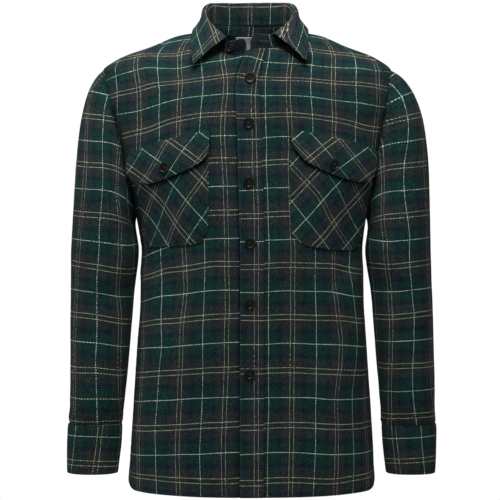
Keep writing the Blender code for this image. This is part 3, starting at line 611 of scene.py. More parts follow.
def arc(p, axis):
    """Length along a grid in millimetres, from its first row or column."""
    d = np.linalg.norm(np.diff(p, axis=axis), axis=-1)
    start = np.zeros_like(np.take(d, [0], axis=axis))
    return np.concatenate([start, np.cumsum(d, axis=axis)], axis=axis)


def smooth(a, b, x):
    t = np.clip((x - a) / (b - a), 0, 1)
    return t * t * (3 - 2 * t)


def bump(x, width):
    return np.exp(-((x / width) ** 2))


def at_grid(grid, rows, columns):
    """Values of a grid at fractional rows and columns."""
    r, c = grid.shape[:2]
    rows, columns = np.clip(rows, 0, r - 1.0001), np.clip(columns, 0, c - 1.0001)
    i, j = rows.astype(int), columns.astype(int)
    a, b = rows - i, columns - j
    if grid.ndim == 3:
        a, b = a[..., None], b[..., None]
    return (grid[i, j] * (1 - a) * (1 - b) + grid[i + 1, j] * a * (1 - b)
            + grid[i, j + 1] * (1 - a) * b + grid[i + 1, j + 1] * a * b)


def resample(points, count):
    """A line of points put at even distances."""
    points = np.asarray(points, float)
    s = np.concatenate([[0], np.cumsum(np.linalg.norm(np.diff(points, axis=0), axis=1))])
    at = np.linspace(0, s[-1], count)
    return np.stack([np.interp(at, s, points[:, k]) for k in range(points.shape[1])], -1)


# ---------------------------------------------------------------- meshes
ALL = []  # every piece shown


def new_mesh(name, verts, faces, material, uv=None, wear_and_painted_shade=None, smooth_shade=True):
    """verts in millimetres; uv holds one pair a corner, in millimetres of cloth; wear one number a point, above zero
    for worn edges and below zero for painted shade.
    """
    mesh = bpy.data.meshes.new(name)
    faces = faces.tolist() if hasattr(faces, "tolist") else faces
    mesh.from_pydata((np.asarray(verts) * MM).tolist(), [], faces)
    mesh.polygons.foreach_set("use_smooth", [smooth_shade] * len(mesh.polygons))
    if uv is not None:
        layer = mesh.uv_layers.new(name="cloth")
        layer.data.foreach_set("uv", (np.asarray(uv) * MM).astype(np.float32).ravel())
    if wear_and_painted_shade is not None:
        attribute = mesh.attributes.new("wear_and_painted_shade", "FLOAT", "POINT")
        attribute.data.foreach_set("value", np.asarray(wear_and_painted_shade, np.float32).ravel())
    mesh.materials.append(material)
    mesh.validate()
    mesh.update()
    obj = bpy.data.objects.new(name, mesh)
    bpy.context.scene.collection.objects.link(obj)
    ALL.append(obj)
    return obj


def shell(name, p, thick, uv, material, closed=False, away=(0, 0, -300), wear_and_painted_shade=None, normals=None, flipped=False):
    """A sheet with a wall behind it and a rounded edge. uv has one more column than p when p is closed."""
    rows, columns = p.shape[:2]
    if normals is None:
        n, flipped = grid_normals(p, closed, away)
    else:
        n = normals
    thick = np.broadcast_to(np.asarray(thick, float), (rows, columns))
    inner = p - n * thick[..., None]
    index = np.arange(rows * columns).reshape(rows, columns)
    wide = np.concatenate([index, index[:, :1]], 1) if closed else index
    quad = np.stack([wide[:-1, :-1], wide[:-1, 1:], wide[1:, 1:], wide[1:, :-1]], -1).reshape(-1, 4)
    quad_uv = np.stack([uv[:-1, :-1], uv[:-1, 1:], uv[1:, 1:], uv[1:, :-1]], 2).reshape(-1, 4, 2)
    verts = [p.reshape(-1, 3), inner.reshape(-1, 3)]
    edge_wear = np.zeros((rows, columns)) if wear_and_painted_shade is None else np.asarray(wear_and_painted_shade, float)
    wear_and_shade_values = [edge_wear.ravel(), edge_wear.ravel()]
    faces = [quad, quad[:, ::-1] + rows * columns]
    uvs = [quad_uv, quad_uv[:, ::-1]]
    # Ways out of the sheet at its edges
    out = np.zeros_like(p)
    slide = np.zeros((rows, columns, 2))
    uv_in = uv[:, :columns]
    ways = [((0, slice(None)), (1, slice(None))), ((-1, slice(None)), (-2, slice(None)))]
    if not closed:
        ways += [((slice(None), 0), (slice(None), 1)), ((slice(None), -1), (slice(None), -2))]
    for edge, inside in ways:
        step = p[edge] - p[inside]
        size = np.maximum(np.linalg.norm(step, axis=-1, keepdims=True), 1e-6)
        out[edge] += step / size
        slide[edge] += (uv_in[edge] - uv_in[inside]) / size
    out = unit(out)
    if closed:
        loops = [(index[0], np.arange(columns)), (index[-1][::-1], np.arange(columns)[::-1])]
        loops = [list(index[0]), list(index[-1][::-1])]
    else:
        loops = [list(index[0]) + list(index[1:, -1]) + list(index[-1, ::-1][1:]) + list(index[::-1, 0][1:-1])]
    start = 2 * rows * columns
    flat_p, flat_n, flat_out = p.reshape(-1, 3), n.reshape(-1, 3), out.reshape(-1, 3)
    flat_t, flat_slide, flat_uv = thick.reshape(-1, 1), slide.reshape(-1, 2), uv_in.reshape(-1, 2)
    for loop in loops:
        loop = np.array(loop)
        ring_index, ring_uv = [loop], [flat_uv[loop]]
        for angle in (math.pi / 4, math.pi / 2, 3 * math.pi / 4):
            half = flat_t[loop] / 2
            ring = flat_p[loop] - flat_n[loop] * half + half * (
                math.cos(angle) * flat_n[loop] + math.sin(angle) * flat_out[loop])
            verts.append(ring)
            wear_and_shade_values.append(np.where(edge_wear.ravel()[loop] < 0, edge_wear.ravel()[loop],
                                  np.maximum(edge_wear.ravel()[loop], 0.55)))
            ring_index.append(start + np.arange(len(loop)))
            ring_uv.append(flat_uv[loop] + flat_slide[loop] * half * angle)
            start += len(loop)
        ring_index.append(loop + rows * columns)
        ring_uv.append(flat_uv[loop] + flat_slide[loop] * flat_t[loop] / 2 * math.pi)
        for a, b, ua, ub in zip(ring_index[:-1], ring_index[1:], ring_uv[:-1], ring_uv[1:], strict=True):
            a2, b2, ua2, ub2 = (np.roll(v, -1, 0) for v in (a, b, ua, ub))
            if closed:
                # the pattern's own seam is where the sheet closes
                ua2, ub2 = ua2.copy(), ub2.copy()
                jump = np.abs(ua2 - ua).max(-1) > 60
                ua2[jump], ub2[jump] = ua[jump], ub[jump]
            faces.append(np.stack([a2, a, b, b2], -1))
            uvs.append(np.stack([ua2, ua, ub, ub2], 1))
    faces, uvs = np.concatenate(faces), np.concatenate(uvs)
    if flipped:
        faces, uvs = faces[:, ::-1], uvs[:, ::-1]
    return new_mesh(name, np.concatenate(verts), faces, material, uvs.reshape(-1, 2), np.concatenate(wear_and_shade_values))


# ---------------------------------------------------------------- smooth fits through points
class Spline:
    """A thin plate through values at places on the picture, with some smoothing."""

    def __init__(self, places, values, smoothing=0.02):
        self.places = np.asarray(places, float) / 100
        values = np.asarray(values, float)
        n = len(self.places)
        k = self.kernel(self.places)
        k[np.arange(n), np.arange(n)] += smoothing
        flat = np.concatenate([np.ones((n, 1)), self.places], 1)
        system = np.zeros((n + 3, n + 3))
        system[:n, :n], system[:n, n:], system[n:, :n] = k, flat, flat.T
        self.weights = np.linalg.lstsq(system, np.concatenate([values, np.zeros(3)]), rcond=None)[0]

    def kernel(self, at):
        r2 = ((at[:, None, :] - self.places[None]) ** 2).sum(-1)
        return 0.5 * r2 * np.log(np.maximum(r2, 1e-12))

    def __call__(self, at):
        shape = np.shape(at)[:-1]
        at = np.reshape(at, (-1, 2)) / 100
        result = []
        for part in np.array_split(at, max(1, len(at) // 4000)):
            result.append(self.kernel(part) @ self.weights[:-3] + self.weights[-3] + part @ self.weights[-2:])
        return np.concatenate(result).reshape(shape)


def read_points(text):
    """Pairs written as (x,y)(x,y)…"""
    pairs = [pair.split(",") for pair in text.replace(" ", "").strip("()").split(")(")]
    return [(float(a), float(b)) for a, b in pairs]


def read_pairs(text, swap=False):
    """Pairs written as a:b a:b …, the second one first when swap is set."""
    pairs = [tuple(float(v) for v in pair.split(":")) for pair in text.split()]
    return [(b, a) for a, b in pairs] if swap else pairs


def gather(lines, spacing):
    """Turns lines of the check, each with its number, into places and distances along the cloth."""
    places, values = [], []
    for number, points in lines:
        for point in points:
            places.append(point)
            values.append(number * spacing)
    return places, values


def values_at(p, fields, places, normals):
    """Values of a grid's fields at places on the picture, on the side that faces the camera; nan off it."""
    view = to_view(p)
    flat = np.concatenate([view, np.zeros((*view.shape[:2], 1))], -1).reshape(-1, 3)
    rows, columns = p.shape[:2]
    index = np.arange(rows * columns).reshape(rows, columns)
    quad = np.stack([index[:-1, :-1], index[:-1, 1:], index[1:, 1:], index[1:, :-1]], -1).reshape(-1, 4)
    keep = normals.reshape(-1, 3)[quad].mean(1)[:, 1] < -0.02
    quad = quad[keep]
    tree = BVHTree.FromPolygons(flat.tolist(), quad.tolist())
    found = []
    for x, y in places:
        hit = tree.ray_cast(Vector((x, y, 1)), Vector((0, 0, -1)))
        if hit[0] is None:
            near = tree.find_nearest(Vector((x, y, 0)), 6)
            hit = near if near[0] is not None else hit
        if hit[0] is None:
            found.append([np.nan] * len(fields))
            continue
        corners = quad[hit[2]]
        d = 1 / (np.hypot(*(flat[corners, :2] - np.array([hit[0].x, hit[0].y])).T) + 0.05)
        d /= d.sum()
        # a plane through the four corners
        a = np.concatenate([np.ones((4, 1)), flat[corners, :2]], 1)
        here = np.array([1, hit[0].x, hit[0].y])
        found.append([float(here @ np.linalg.lstsq(a, f.reshape(-1)[corners], rcond=None)[0]) for f in fields])
    return np.array(found)


def fitted(p, base, lines, spacing, normals, smoothing=0.02):
    """The grid's base field, moved so that the check's lines fall where they are seen."""
    places, values = gather(lines, spacing)
    here = values_at(p, [base], places, normals)[:, 0]
    good = ~np.isnan(here)
    places, residual = np.array(places)[good], np.array(values)[good] - here[good]
    spline = Spline(places, residual, smoothing)
    view = to_view(p)
    low, high = places.min(0) - 6, places.max(0) + 6
    move = spline(np.clip(view, low, high))
    spread = residual.max() - residual.min()
    return base + np.clip(move, residual.min() - 0.15 * spread - 2, residual.max() + 0.15 * spread + 2)


# ---------------------------------------------------------------- the check
# One repeat runs from a white line past green, navy and brown to a pair of cream lines, and back again.
# Lines are numbered in repeats: whole numbers are white lines and halves are the middles of cream pairs.
REPEAT_U, REPEAT_V = 76.4, 83.0  # across the cloth and along it
PAIR_U, PAIR_V = 3.3, 3.85  # a cream line lies this far to each side of the middle of its pair

# Where the lines run on the picture: for each piece, its level lines as x:y and its upright lines as y:x.
RIGHT_FRONT_V = [
    (0, "230:452.7 222:452.5 206:454.3 190:454.5 174:454.5 158:455.5 142:455.4 134:455"),
    (1, "230:397.5 214:397.5 198:398.6 182:399.3 166:400.6 150:400.5 136:401.5"),
    (2, "230:342.5 214:343.5 198:344.5 182:345.7 166:347.7 150:347.5 142:348.2"),
    (3, "230:290.5 214:290.5 198:291.6 190:293.4 174:295.6 158:296.5 150:298.5 140:302"),
    (4, "230:238.5 214:238.5 206:239 153.2:252.2 144.3:257.4"),
    (5, "230:186.4 214:186.5 142.8:206.2 135.1:208.7"),
    (6, "230:135.3 214:135.5 206:137"),
    (7, "230:93.5 214:94.6 198:96.3 182:98.6 166:102.6 158:104.5 150:107.2 142:110.3 134:112.2 117:114.4"),
    (8, "104.3:82.7 115.7:75.1 134.7:70.7 147.4:66.6 157.5:67.9 176.5:69.7 191.7:65"),
    (8.5, "115.7:60.5 140:55.8 157:55.5 177:55 191:51"),
    (7.5, "110.7:95.7 136:90.9 157.5:84 177.8:81.9 202.5:79 223.4:76.2 237.3:75.1"),
    (6.5, "230:114 214:114.6 198:115.5 182:118.4 166:122.1 158:125 150:129.9 142:131 134:132.7"),
    (5.5, "230:160.4 222:160.5 214:160"),
    (4.5, "230:212.6 214:212.7 146:230.6 139.4:232.9"),
    (3.5, "230:264 214:264 206:264.3 198:266.4 190:268.2 182:269.1 174:270 166:270 158:272.7"),
    (2.5, "230:316 214:317.1 198:318 182:320 174:321.1 158:322 150:322 142:325"),
    (1.5, "230:369.5 214:370 198:371.1 182:372 166:373 150:374.1 136:374.9"),
    (0.5, "230:424.6 214:425.5 198:426 182:427 166:428 150:428 136:428"),
    (-0.5, "230:481.3 214:481.7 198:481.1 182:480.2 166:479.4 150:477.2 136:475"),
]
RIGHT_FRONT_U = [
    (-1, "70:201.4 80:203.6 90:202.6 100:201.5 110:200.6 120:200.5 130:199.4 292:203.5 312:203.3 340:202.5 "
         "390:202.5 430:200.4 450:199.5 490:200.5"),
    (-0.5, "60:221.9 70:224.3 80:226.4 90:225.6 100:224.5 110:223.7 130:222.3 150:223.3 170:224.5 190:225.5 "
           "210:225.9 230:226.5 270:226.5 290:227.5 310:227.5 330:226.4 352:226.5 370:226.1 390:225.5 410:224.5 "
           "430:224 490:224"),
    (-1.5, "60:179.5 80:180.5 100:179.5 120:178.5 130:177.9 290:186.4 305:184.5 320:182.6 340:181 370:180.5 "
           "400:179.3 426:178.4 479:177.8"),
    (-2, "60:157.5 80:158.5 90:159.4 100:159.1 120:158.3 130:159.5 300:162.7 340:162.5 352:161.8 370:159.4 "
         "390:157.5 410:156.5 430:154.5 450:155.6 470:155.5 490:156.5"),
    (-2.5, "60:135.4 70:136.4 80:137.4 90:138.3 100:139.5 130:139.6 300:143.5 330:143 469:138.4"),
    (-3, "70:115.5 80:116.5 90:117.5 120:117.5"),
]
LEFT_FRONT_V = [
    (8, "266:62.5 284:63.6 296:63.5 312:64.6 328:67 344:68 360:67.5 368:68.3 384:69.4"),
    (7, "266:95.5 290:95.5 312:96.6 328:99.6 344:101.6 360:102.5 368:104.4 386:107"),
    (6, "266:137.6 278:136.6 284:136.4"),
    (5, "266:188.1 278:187.4 284:187.5"),
    (4, "266:240.1 278:240 284:239.4 297:239.2"),
    (3, "266:292.1 278:291.3 290:290.4 304:291.5 320:291.5 336:291.7 344:294.5 352:296.7 360:296.5"),
    (2, "266:344.5 278:343.5 304:343.5 320:344.5 336:344.6 352:345.5 360:346.6"),
    (1, "266:397.5 290:397.5 312:397.6 328:399.6 352:399.5 360:398.5"),
    (0, "266:452.5 290:452.5 312:453.5 328:454.5 344:454.5 360:453.4 368:451.8"),
    (-0.5, "266:481 290:479.9 304:480.5 320:481 336:481.5 344:480.2 352:478.4 360:477.4 368:475"),
    (0.5, "266:426 290:425 312:425.5 328:426.9 344:427 360:426 368:423.7"),
    (1.5, "266:371 290:370 312:371.1 328:371.8 344:372.3 360:372.9"),
    (2.5, "266:318 290:317 312:317.9 336:318 344:318.6 352:319.5 360:321"),
    (3.5, "290:264.9 312:265.9 336:266 344:268.5 352:270.5 360:271.8"),
    (4.5, "272:214.6 284:213.7"),
    (5.5, "272:162.8 284:161.8"),
    (6.5, "266:115.5 290:114.5 304:115.5 320:117.5 336:119.6 344:121.3 352:123.1 360:126.5 368:128.5"),
    (7.5, "266:78.2 290:79.2 312:80 331:82.1 344:83.1 356:84.1 376:86.3 388:89.5"),
    (8.5, "312:49.2 321:52.2 331:52.3 336:53.8 345:52.6 355:55.5 376:61"),
]
LEFT_FRONT_U = [
    (0, "60:268.7 70:266.6 80:265.5 100:265.4 120:265.5 140:266.5 170:266.3 190:267.5 230:268.5 290:268.5 "
        "340:268.5 410:268.9 450:267.5 490:267.5"),
    (0.5, "60:290.6 70:289.5 80:288.5 100:288.5 120:289.7 140:290.9 340:292.5 370:292 410:291.4 490:290.5"),
    (1, "60:312.7 70:311.5 80:310.5 100:311.5 120:312.6 130:313 245:315 262:315.6 340:316 370:315.5 430:315.5 "
        "470:314.5 490:313.5"),
    (1.5, "60:333.5 100:333.4 120:334.5 130:333.6 340:341.5 352:341.2 370:340 390:337.9 430:337.5 470:336.5 "
          "490:335.5"),
    (2, "60:355.5 80:355.6 100:356.5 120:356.5 130:355.3 250:350.5 256:350.8 268:349.5 300:354 340:356.7 "
        "352:355.5 370:354.5 390:351.4 430:352.7 490:352.7"),
    (2.5, "70:377.5 80:377.4 90:378.5 100:378.6 110:377.8 120:376.5 130:375.4"),
]
PLACKET_V = [
    (8, "247:56.2 256.6:60.2 260.6:60.6"), (7.5, "241:75.5 257.2:78.1 260.6:78.2"),
    (7, "239.6:94.9 251.1:95.4 255.2:95.4"), (6.5, "239.2:116.2 251:116 256:115.6"),
    (6, "240.2:139.7 251.1:139.3 256.6:139"), (5.5, "240.5:165 252.6:164.7 260:164.3"),
    (5, "240.5:190.6 253.4:190 260.7:189.8"), (4.5, "242:216.3 254.4:216 258.5:216"), (4, "241.3:241.7 258.5:241.3"),
    (3, "241:292.5 258:292.5"), (2.5, "241:317.9 258:317.9"), (2, "241:344.7 258:344.7"),
    (1.5, "241:371.2 258:371.2"), (1, "239:399.1 257:398"), (0.5, "241:427.9 258:427.9"), (0, "239:454.8 257:453.2"),
    (-0.5, "241:483.1 258:483.1"),
]
PLACKET_MIDDLE = read_pairs("52:261.7 60.2:258.5 68.4:256.5 75.2:255.2 86:253.5 95.4:253.4 113:253.3 139:254.4 "
                            "162.2:254.6 189.8:255.4 213.7:256.3 241.3:256.5 300:256.3 350:256.3 400:256.3 "
                            "450:256.3 490:256.3", swap=True)
PLACKET_U = [(0.5, PLACKET_MIDDLE), (0.5 - 13 * MM_PER_PIXEL / REPEAT_U, [(x - 13, y) for x, y in PLACKET_MIDDLE])]
RIGHT_SLEEVE_V = [
    (7, "96:92.4 102:93.5"), (6.5, "84:116 96:117 102:117.3 108:117.6"),
    (6, "84:140.4 90:141 102:141.5 108:142.6 114:144 120:146.3"),
    (5.5, "84:164.3 96:165.2 102:165.4 108:166.5 114:167.5"),
    (5, "78:188.4 84:189.5 96:189.4 102:190.5 114:191.6 120:194.2"),
    (4.5, "78:213.4 84:214.5 90:214.5 102:215.2 108:216.5 114:217.5 120:218.5"),
    (4, "78:238.9 90:241.5 102:242.4 114:243.6 120:244.7 126:247.3"),
    (3.5, "78:263.5 84:264.9 90:266.5 102:267.6 108:268.8 114:269.8 120:270.7"),
    (3, "74:290.5 84:290.5 96:293 102:294.4 108:295.6 120:297"),
    (2.5, "74:314.7 84:314.7 96:316.6 102:317.4 108:319.5 120:321.3"),
    (2, "74:341.5 84:341.5 96:342.7 108:344.6 120:346.7"), (1.5, "74:370 90:370 102:370.5 114:371.7 122:373.2"),
    (1, "74:398.4 84:399.5 96:398.5 108:398.5 120:399.5"), (0.5, "74:422.7 84:424.8 96:423.7 108:422.4"),
]
RIGHT_SLEEVE_U = [
    (-0.5, "150:86.6 170:85.5 190:84 210:82.4 230:79.5 250:78.7 270:76.5 290:76.5 310:75.4 330:74.4 350:73.7 "
           "370:73.5 390:74.3 410:73.6"),
    (0, "95:106.9 120:103.8 150:101.4 170:103.4 190:102.5 210:100.5 230:99.5 250:99.6 270:98.6 290:97.5 330:98 "
        "350:96.7 370:96.5 410:96.5 425:97"),
    (0.5, "230:120.5 250:119.6 270:117.5 290:117.4 310:119.3 330:120.5 350:118.4 370:119 390:119.3 410:120.5"),
]
RIGHT_CUFF_V = [(0, "72:436.6 84:436.6 96:435.5 108:435.5 114:437.5 118:439.6"),
                (-0.5, "72:463.5 84:462.5 96:462.5 108:463.2 114:464.6")]
RIGHT_CUFF_U = [(0, "432:75.6 440:74.5 450:73.4 460:72.4 470:70.6"), (0.5, "432:99.3 440:98.9 450:97.9 460:97 470:96")]
LEFT_SLEEVE_V = [
    (7, "388.4:106.2 401.5:96.2 409.9:92.3"),
    (6.5, "386:121.8 392:120.5 398:119.5 404:118.3 410:117 416:115.7"),
    (6, "386:144.8 392:143.7 398:142.5 404:142.7 410:141.3 416:140.1 422:139.4"),
    (5.5, "386:167.5 398:166.5 404:166 416:164.8 422:163.9"), (5, "380:192.5 392:192.5 404:191 416:189.4 426:188.4"),
    (4.5, "380:217.8 392:216.9 404:215.3 416:213.9 426:212.6"),
    (4, "380:241.5 392:241.6 404:240.5 416:239 428:237.3"), (3.5, "386:266.2 398:266 410:264.8 422:263"),
    (3, "386:292.6 398:291.7 410:290.5 422:289 428:288.4"), (2.5, "386:317.8 398:317 410:315 422:313.9"),
    (2, "386:341.5 398:341.5 410:340.4 428:339.7"), (1.5, "386:366.2 404:366 428:364.9"),
    (1, "386:391.5 404:391.5 416:390.7 428:389.5"), (0.5, "386:416 404:416 428:414.9"),
]
LEFT_SLEEVE_U = [
    (-0.5, "170:382.5 190:382 210:383 230:384.4 250:386.4 270:387.5 290:389.4 310:390.5 330:390.5 350:391 "
           "370:389.5 425:389.5"),
    (0, "90:397.6 96:401.5 108:404.5 118:408.4 141:408.4 155:405.3 168:404.5 190:404.5 210:406.7 230:408.7 "
        "250:409.3 270:408.9 290:411.5 310:413.4 330:414.5 350:413.4 370:412.5 390:412.5 410:414.2 425:417.6"),
    (0.5, "161:423.5 259:428.5 319:431"),
]
LEFT_CUFF_V = [(0, "388:438.5 398:438.5 410:437.5 422:437.5 428:436.7"), (-0.5, "398:461.3 416:460.2 428:459.3")]
LEFT_CUFF_U = [(-0.5, "432:393.5 440:394.4 450:395.5 460:397.6 470:398.7"), (0, "432:422.5 450:422 460:422.6 470:424.6")]

# Pieces cut on the bias: both families of lines as (x,y). A number and a side pick one line of a pair.
HALF_U, HALF_V = PAIR_U / REPEAT_U, PAIR_V / REPEAT_V
RIGHT_FLAP_U = [
    (0, "(141.4,149.9)(138.5,156.2)(134.4,165)(131.9,168.1)(129.1,169.4)"),
    (0.5 - HALF_U, "(162.6,143)(155.7,156.2)(150.1,168.7)(145.1,176.9)(137.5,181.3)"),
    (0.5 + HALF_U, "(167.6,141.5)(163.5,147.4)(159.5,156.8)(155.1,165.6)(151.9,173.1)(148.5,177.5)(144.4,180.6)"),
    (1, "(199.4,130.8)(184.5,148.4)(181.9,151.2)(169.4,169.7)(166,176.3)"),
    (1.5 - HALF_U, "(208.3,148.7)(197.7,158.1)(194.6,162.2)(191.4,166.2)"),
]
RIGHT_FLAP_V = [
    (0, "(199.4,131.8)(208.7,139.3)"),
    (0.5 - HALF_V, "(170.7,138)(179.5,144.3)(185.2,148.7)(193.9,154.9)(200.8,160)"),
    (0.5 + HALF_V, "(168.9,142.4)(180.8,150.6)(188.3,156.2)(196.4,162.5)"),
    (1, "(141.4,149.9)(154.8,158.1)(157.9,160.3)(162.6,163.7)(169.5,169.7)(175.1,173.7)"),
    (1.5 + HALF_V, "(133.1,171.9)(143.8,180)"), (1.5 - HALF_V, "(139.4,173.1)(151.3,181.3)"),
]
RIGHT_POCKET_V = [
    (-0.5 - HALF_V, "(193.9,168.1)(202.7,177.2)(206.5,180.3)"),
    (-0.5 + HALF_V, "(190.8,171.9)(199.9,181)(203,184.1)(207.1,188.5)"),
    (0, "(166.4,179.4)(171.7,185.7)(184.5,200.1)(188.3,202.9)(203,218.2)(205.8,221.7)(208.7,226.5)"),
    (0.5 - HALF_V, "(139.4,183.8)(151.9,190)(158.2,194.1)(164.5,205.7)(168.9,211.3)(174.5,220.7)(180.2,227.7)"
                   "(186.3,233.2)(189.7,236.3)(193.7,241.2)(198.6,245.5)"),
    (0.5 + HALF_V, "(135.3,183.1)(143.2,189.4)(150.4,194.4)(154.1,196.6)(158.8,202.6)(165.7,212)(171.4,219.5)"
                   "(174.1,227.1)(177.7,232)(181.4,235.7)(186.6,240.6)(190,244.3)(192.5,245.8)"),
    (1, "(145.4,209.8)(150.1,215.1)(154.5,221.4)(159,228)(161.8,232.6)(164.3,238.1)(165.8,244.3)"),
]
RIGHT_POCKET_U = [
    (-0.5, "(157.6,185.7)(155.1,192.5)(152.6,200.1)(149.4,209.5)"),
    (0, "(178.6,175.3)(172.6,184.4)(170.4,190)(165.1,202.6)(162,214.5)(160.1,220.7)(158.4,230.1)(155.7,235.1)"
        "(152.6,241.2)(151.1,243)"),
    (0.5 - HALF_U, "(199.6,181.9)(193.3,189.4)(186.4,196.9)(183.6,201.9)(178.9,208.8)(173.9,217.6)"),
    (0.5 + HALF_U, "(202.7,184.4)(197.1,191.9)(189.5,200.7)(186.1,205.7)(178.9,215.7)(175.9,219.1)(172.8,227.7)"
                   "(170.4,231.4)"),
    (1, "(207.7,210.7)(203.3,217.6)(198.6,225.2)(195.5,229.5)(189.7,236.9)(186.3,240.6)(182.3,246.1)"),
]
LEFT_FLAP_U = [  # down to the right
    (-0.5, "(299.3,147.2)(308.9,156.2)(317,164)"),
    (0, "(308.2,132.2)(315.3,138.2)(322.3,144.6)(326.2,148.5)(329.4,153.6)(331.9,157.8)(339,169)(346.6,176)"),
    (0.5 - HALF_U, "(338,139.5)(343.4,145.9)(349.2,153)(355.6,161.3)(360.7,169)(365.8,175.4)"),
    (0.5 + HALF_U, "(342.8,141.4)(346.6,144.6)(354.3,154.9)(359.4,161.9)(364.6,169)(369.7,175.4)"),
    (1, "(369.7,148.5)(374.8,155.5)"),
]
LEFT_FLAP_V = [  # down to the left
    (0, "(303.1,131.8)(292.9,139.8)"),
    (0.5 - HALF_V, "(332.6,137.6)(326.8,141.8)(323,144)(315.3,151)(310.2,155.5)(306.6,158.7)"),
    (0.5 + HALF_V, "(338,139.5)(332.6,143.4)(326.8,147.8)(320.4,153)(314,158.7)(310.2,161.9)"),
    (1, "(367.8,148.5)(361.4,152.6)(353.7,158.4)(347.3,163.2)(339,169)(335.1,172.5)"),
    (1.5, "(376.1,170.9)(369.7,175.7)(363.9,180.5)"),
]
LEFT_POCKET_U = [  # down to the right
    (-1, "(291.3,202.2)(295.4,208)(301.2,214.4)(306.3,220.2)(310.2,225.5)(315.3,230.6)(321,236.7)(324.2,240.2)"
         "(327.8,243.7)"),
    (-0.5 + HALF_U, "(291.9,162.9)(297.4,169)(307.6,179.2)(310.2,182.4)(317.8,190.1)(323.6,197.1)(326.8,204.8)"
                    "(330,216.5)(334.5,223.6)(339.6,229.3)(343.4,233.8)(349.2,242.4)(352.4,247.9)"),
    (-0.5 - HALF_U, "(290.3,169)(297.4,176)(303.8,182.4)(307.6,185.9)(314,192.6)(322.3,202.9)(326.2,208.6)"
                    "(329.4,220.4)(332.6,227.4)(335.8,232.5)(339.6,238.3)(345.4,246)(349.2,250.4)"),
    (0, "(330,174.7)(331.9,179.2)(336.1,186.2)(341.5,194.6)(347.3,204.2)(350.5,210.6)(356.2,222)(359.4,229.3)"
        "(361.4,233.8)(363.3,238.9)"),
    (0.5 - HALF_U, "(352.4,184.3)(356.2,195.2)(358.8,205.4)"), (0.5 + HALF_U, "(356.6,186.9)(359.4,197.1)(361.4,220.2)"),
]
LEFT_POCKET_V = [  # down to the left
    (-0.5 - HALF_V, "(316.6,170.2)(310.8,176)(303.1,183)(292.2,194.6)"),
    (-0.5 + HALF_V, "(320.4,172.2)(312.7,179.8)(305,186.9)(300.6,192.3)(292.9,200.3)"),
    (0, "(339.9,181.1)(338.6,183.7)(335.8,186.2)(329.4,191.4)(326.2,195.2)(324.2,199)(321.7,202.9)(315.3,209.9)"
        "(307.6,218.2)(304.4,221.3)(298,227.1)(291.9,233.5)"),
    (0.5 - HALF_V, "(356.2,197.1)(350.5,204.2)(347.3,207.4)(339.6,213.1)(333.2,218.2)(328.1,230.6)(323,235.1)"
                   "(319.1,238.9)(313.4,243.7)"),
    (0.5 + HALF_V, "(349.2,210.6)(342.8,217)(336.4,222)(327.8,237)(323,241.5)(319.8,243.4)"),
    (1, "(361.4,221)(359.4,226.8)(358.8,230.6)(356.2,235.1)(352.4,239.6)(349.2,242.4)(345.4,246)(341.8,248.8)"),
]
# The collar's leaf: lines across it are numbered from the middle of the back, and those along it from its seam.
LEAF_RIGHT_U = [
    (3 - HALF_U, "(215.3,31.2)(211.9,34.7)(201.5,48.5)(193.2,55.5)"),
    (3 + HALF_U, "(217.5,34.7)(213.6,37.3)(202.8,52)(193.7,57.2)"),
    (2.5, "(206.7,20.4)(202.3,23.4)(200.6,32.5)(198.4,34.7)(192.4,40.7)"),
]
LEAF_RIGHT_V = [
    (1, "(196.3,26.9)(198.4,33.8)(201.5,48.5)(202.8,58)"),
    (0.5 + HALF_V, "(206.7,20.8)(211,30.3)(215.3,37.3)(217,43.3)"),
    (0.5 - HALF_V, "(213.6,28.6)(217,33.8)(219.7,39.9)"),
]
LEAF_LEFT_U = [
    (3 - HALF_U, "(282.7,31.2)(285.1,34.7)(289.6,43)(296.8,49.4)(305,52)"),
    (3 + HALF_U, "(280.5,34.7)(283.4,38.3)(288.4,45)(296.8,52)(305,54.6)"),
    (2.5, "(292.5,20.4)(295.9,29.5)(298.5,37.3)(305.9,39.9)"),
]
LEAF_LEFT_V = [
    (1, "(302.9,30.3)(298.5,37.3)(296.4,49.4)(295.5,55.5)"),
    (0.5 + HALF_V, "(291.3,20.8)(287,30.3)(282.7,37.3)(281,43.3)"),
    (0.5 - HALF_V, "(284.4,28.6)(281,33.8)(278.3,39.9)"),
]


def level(lines):
    return [(number, read_pairs(text)) for number, text in lines]


def upright(lines):
    return [(number, read_pairs(text, swap=True)) for number, text in lines]


def free(lines):
    return [(number, read_points(text)) for number, text in lines]


# ---------------------------------------------------------------- creases
rng = np.random.default_rng(41)


def waves(count, shortest, longest, size, seed):
    r = np.random.default_rng(seed)
    way = unit(r.normal(size=(count, 3)))
    way[:, 2] *= 0.42
    length = np.exp(r.uniform(np.log(shortest), np.log(longest), count))
    return way * (2 * math.pi / length)[:, None], r.uniform(0, 2 * math.pi, count), size * math.sqrt(2 / count)


BROAD = waves(26, 55, 190, 0.55, 5)
FINE = waves(40, 11, 32, 0.10, 9)


def ripple(p, field):
    k, phase, size = field
    flat = p.reshape(-1, 3)
    total = np.zeros(len(flat))
    for wave, shift in zip(k, phase, strict=True):
        total += np.sin(flat @ wave + shift)
    return (total * size).reshape(p.shape[:-1])


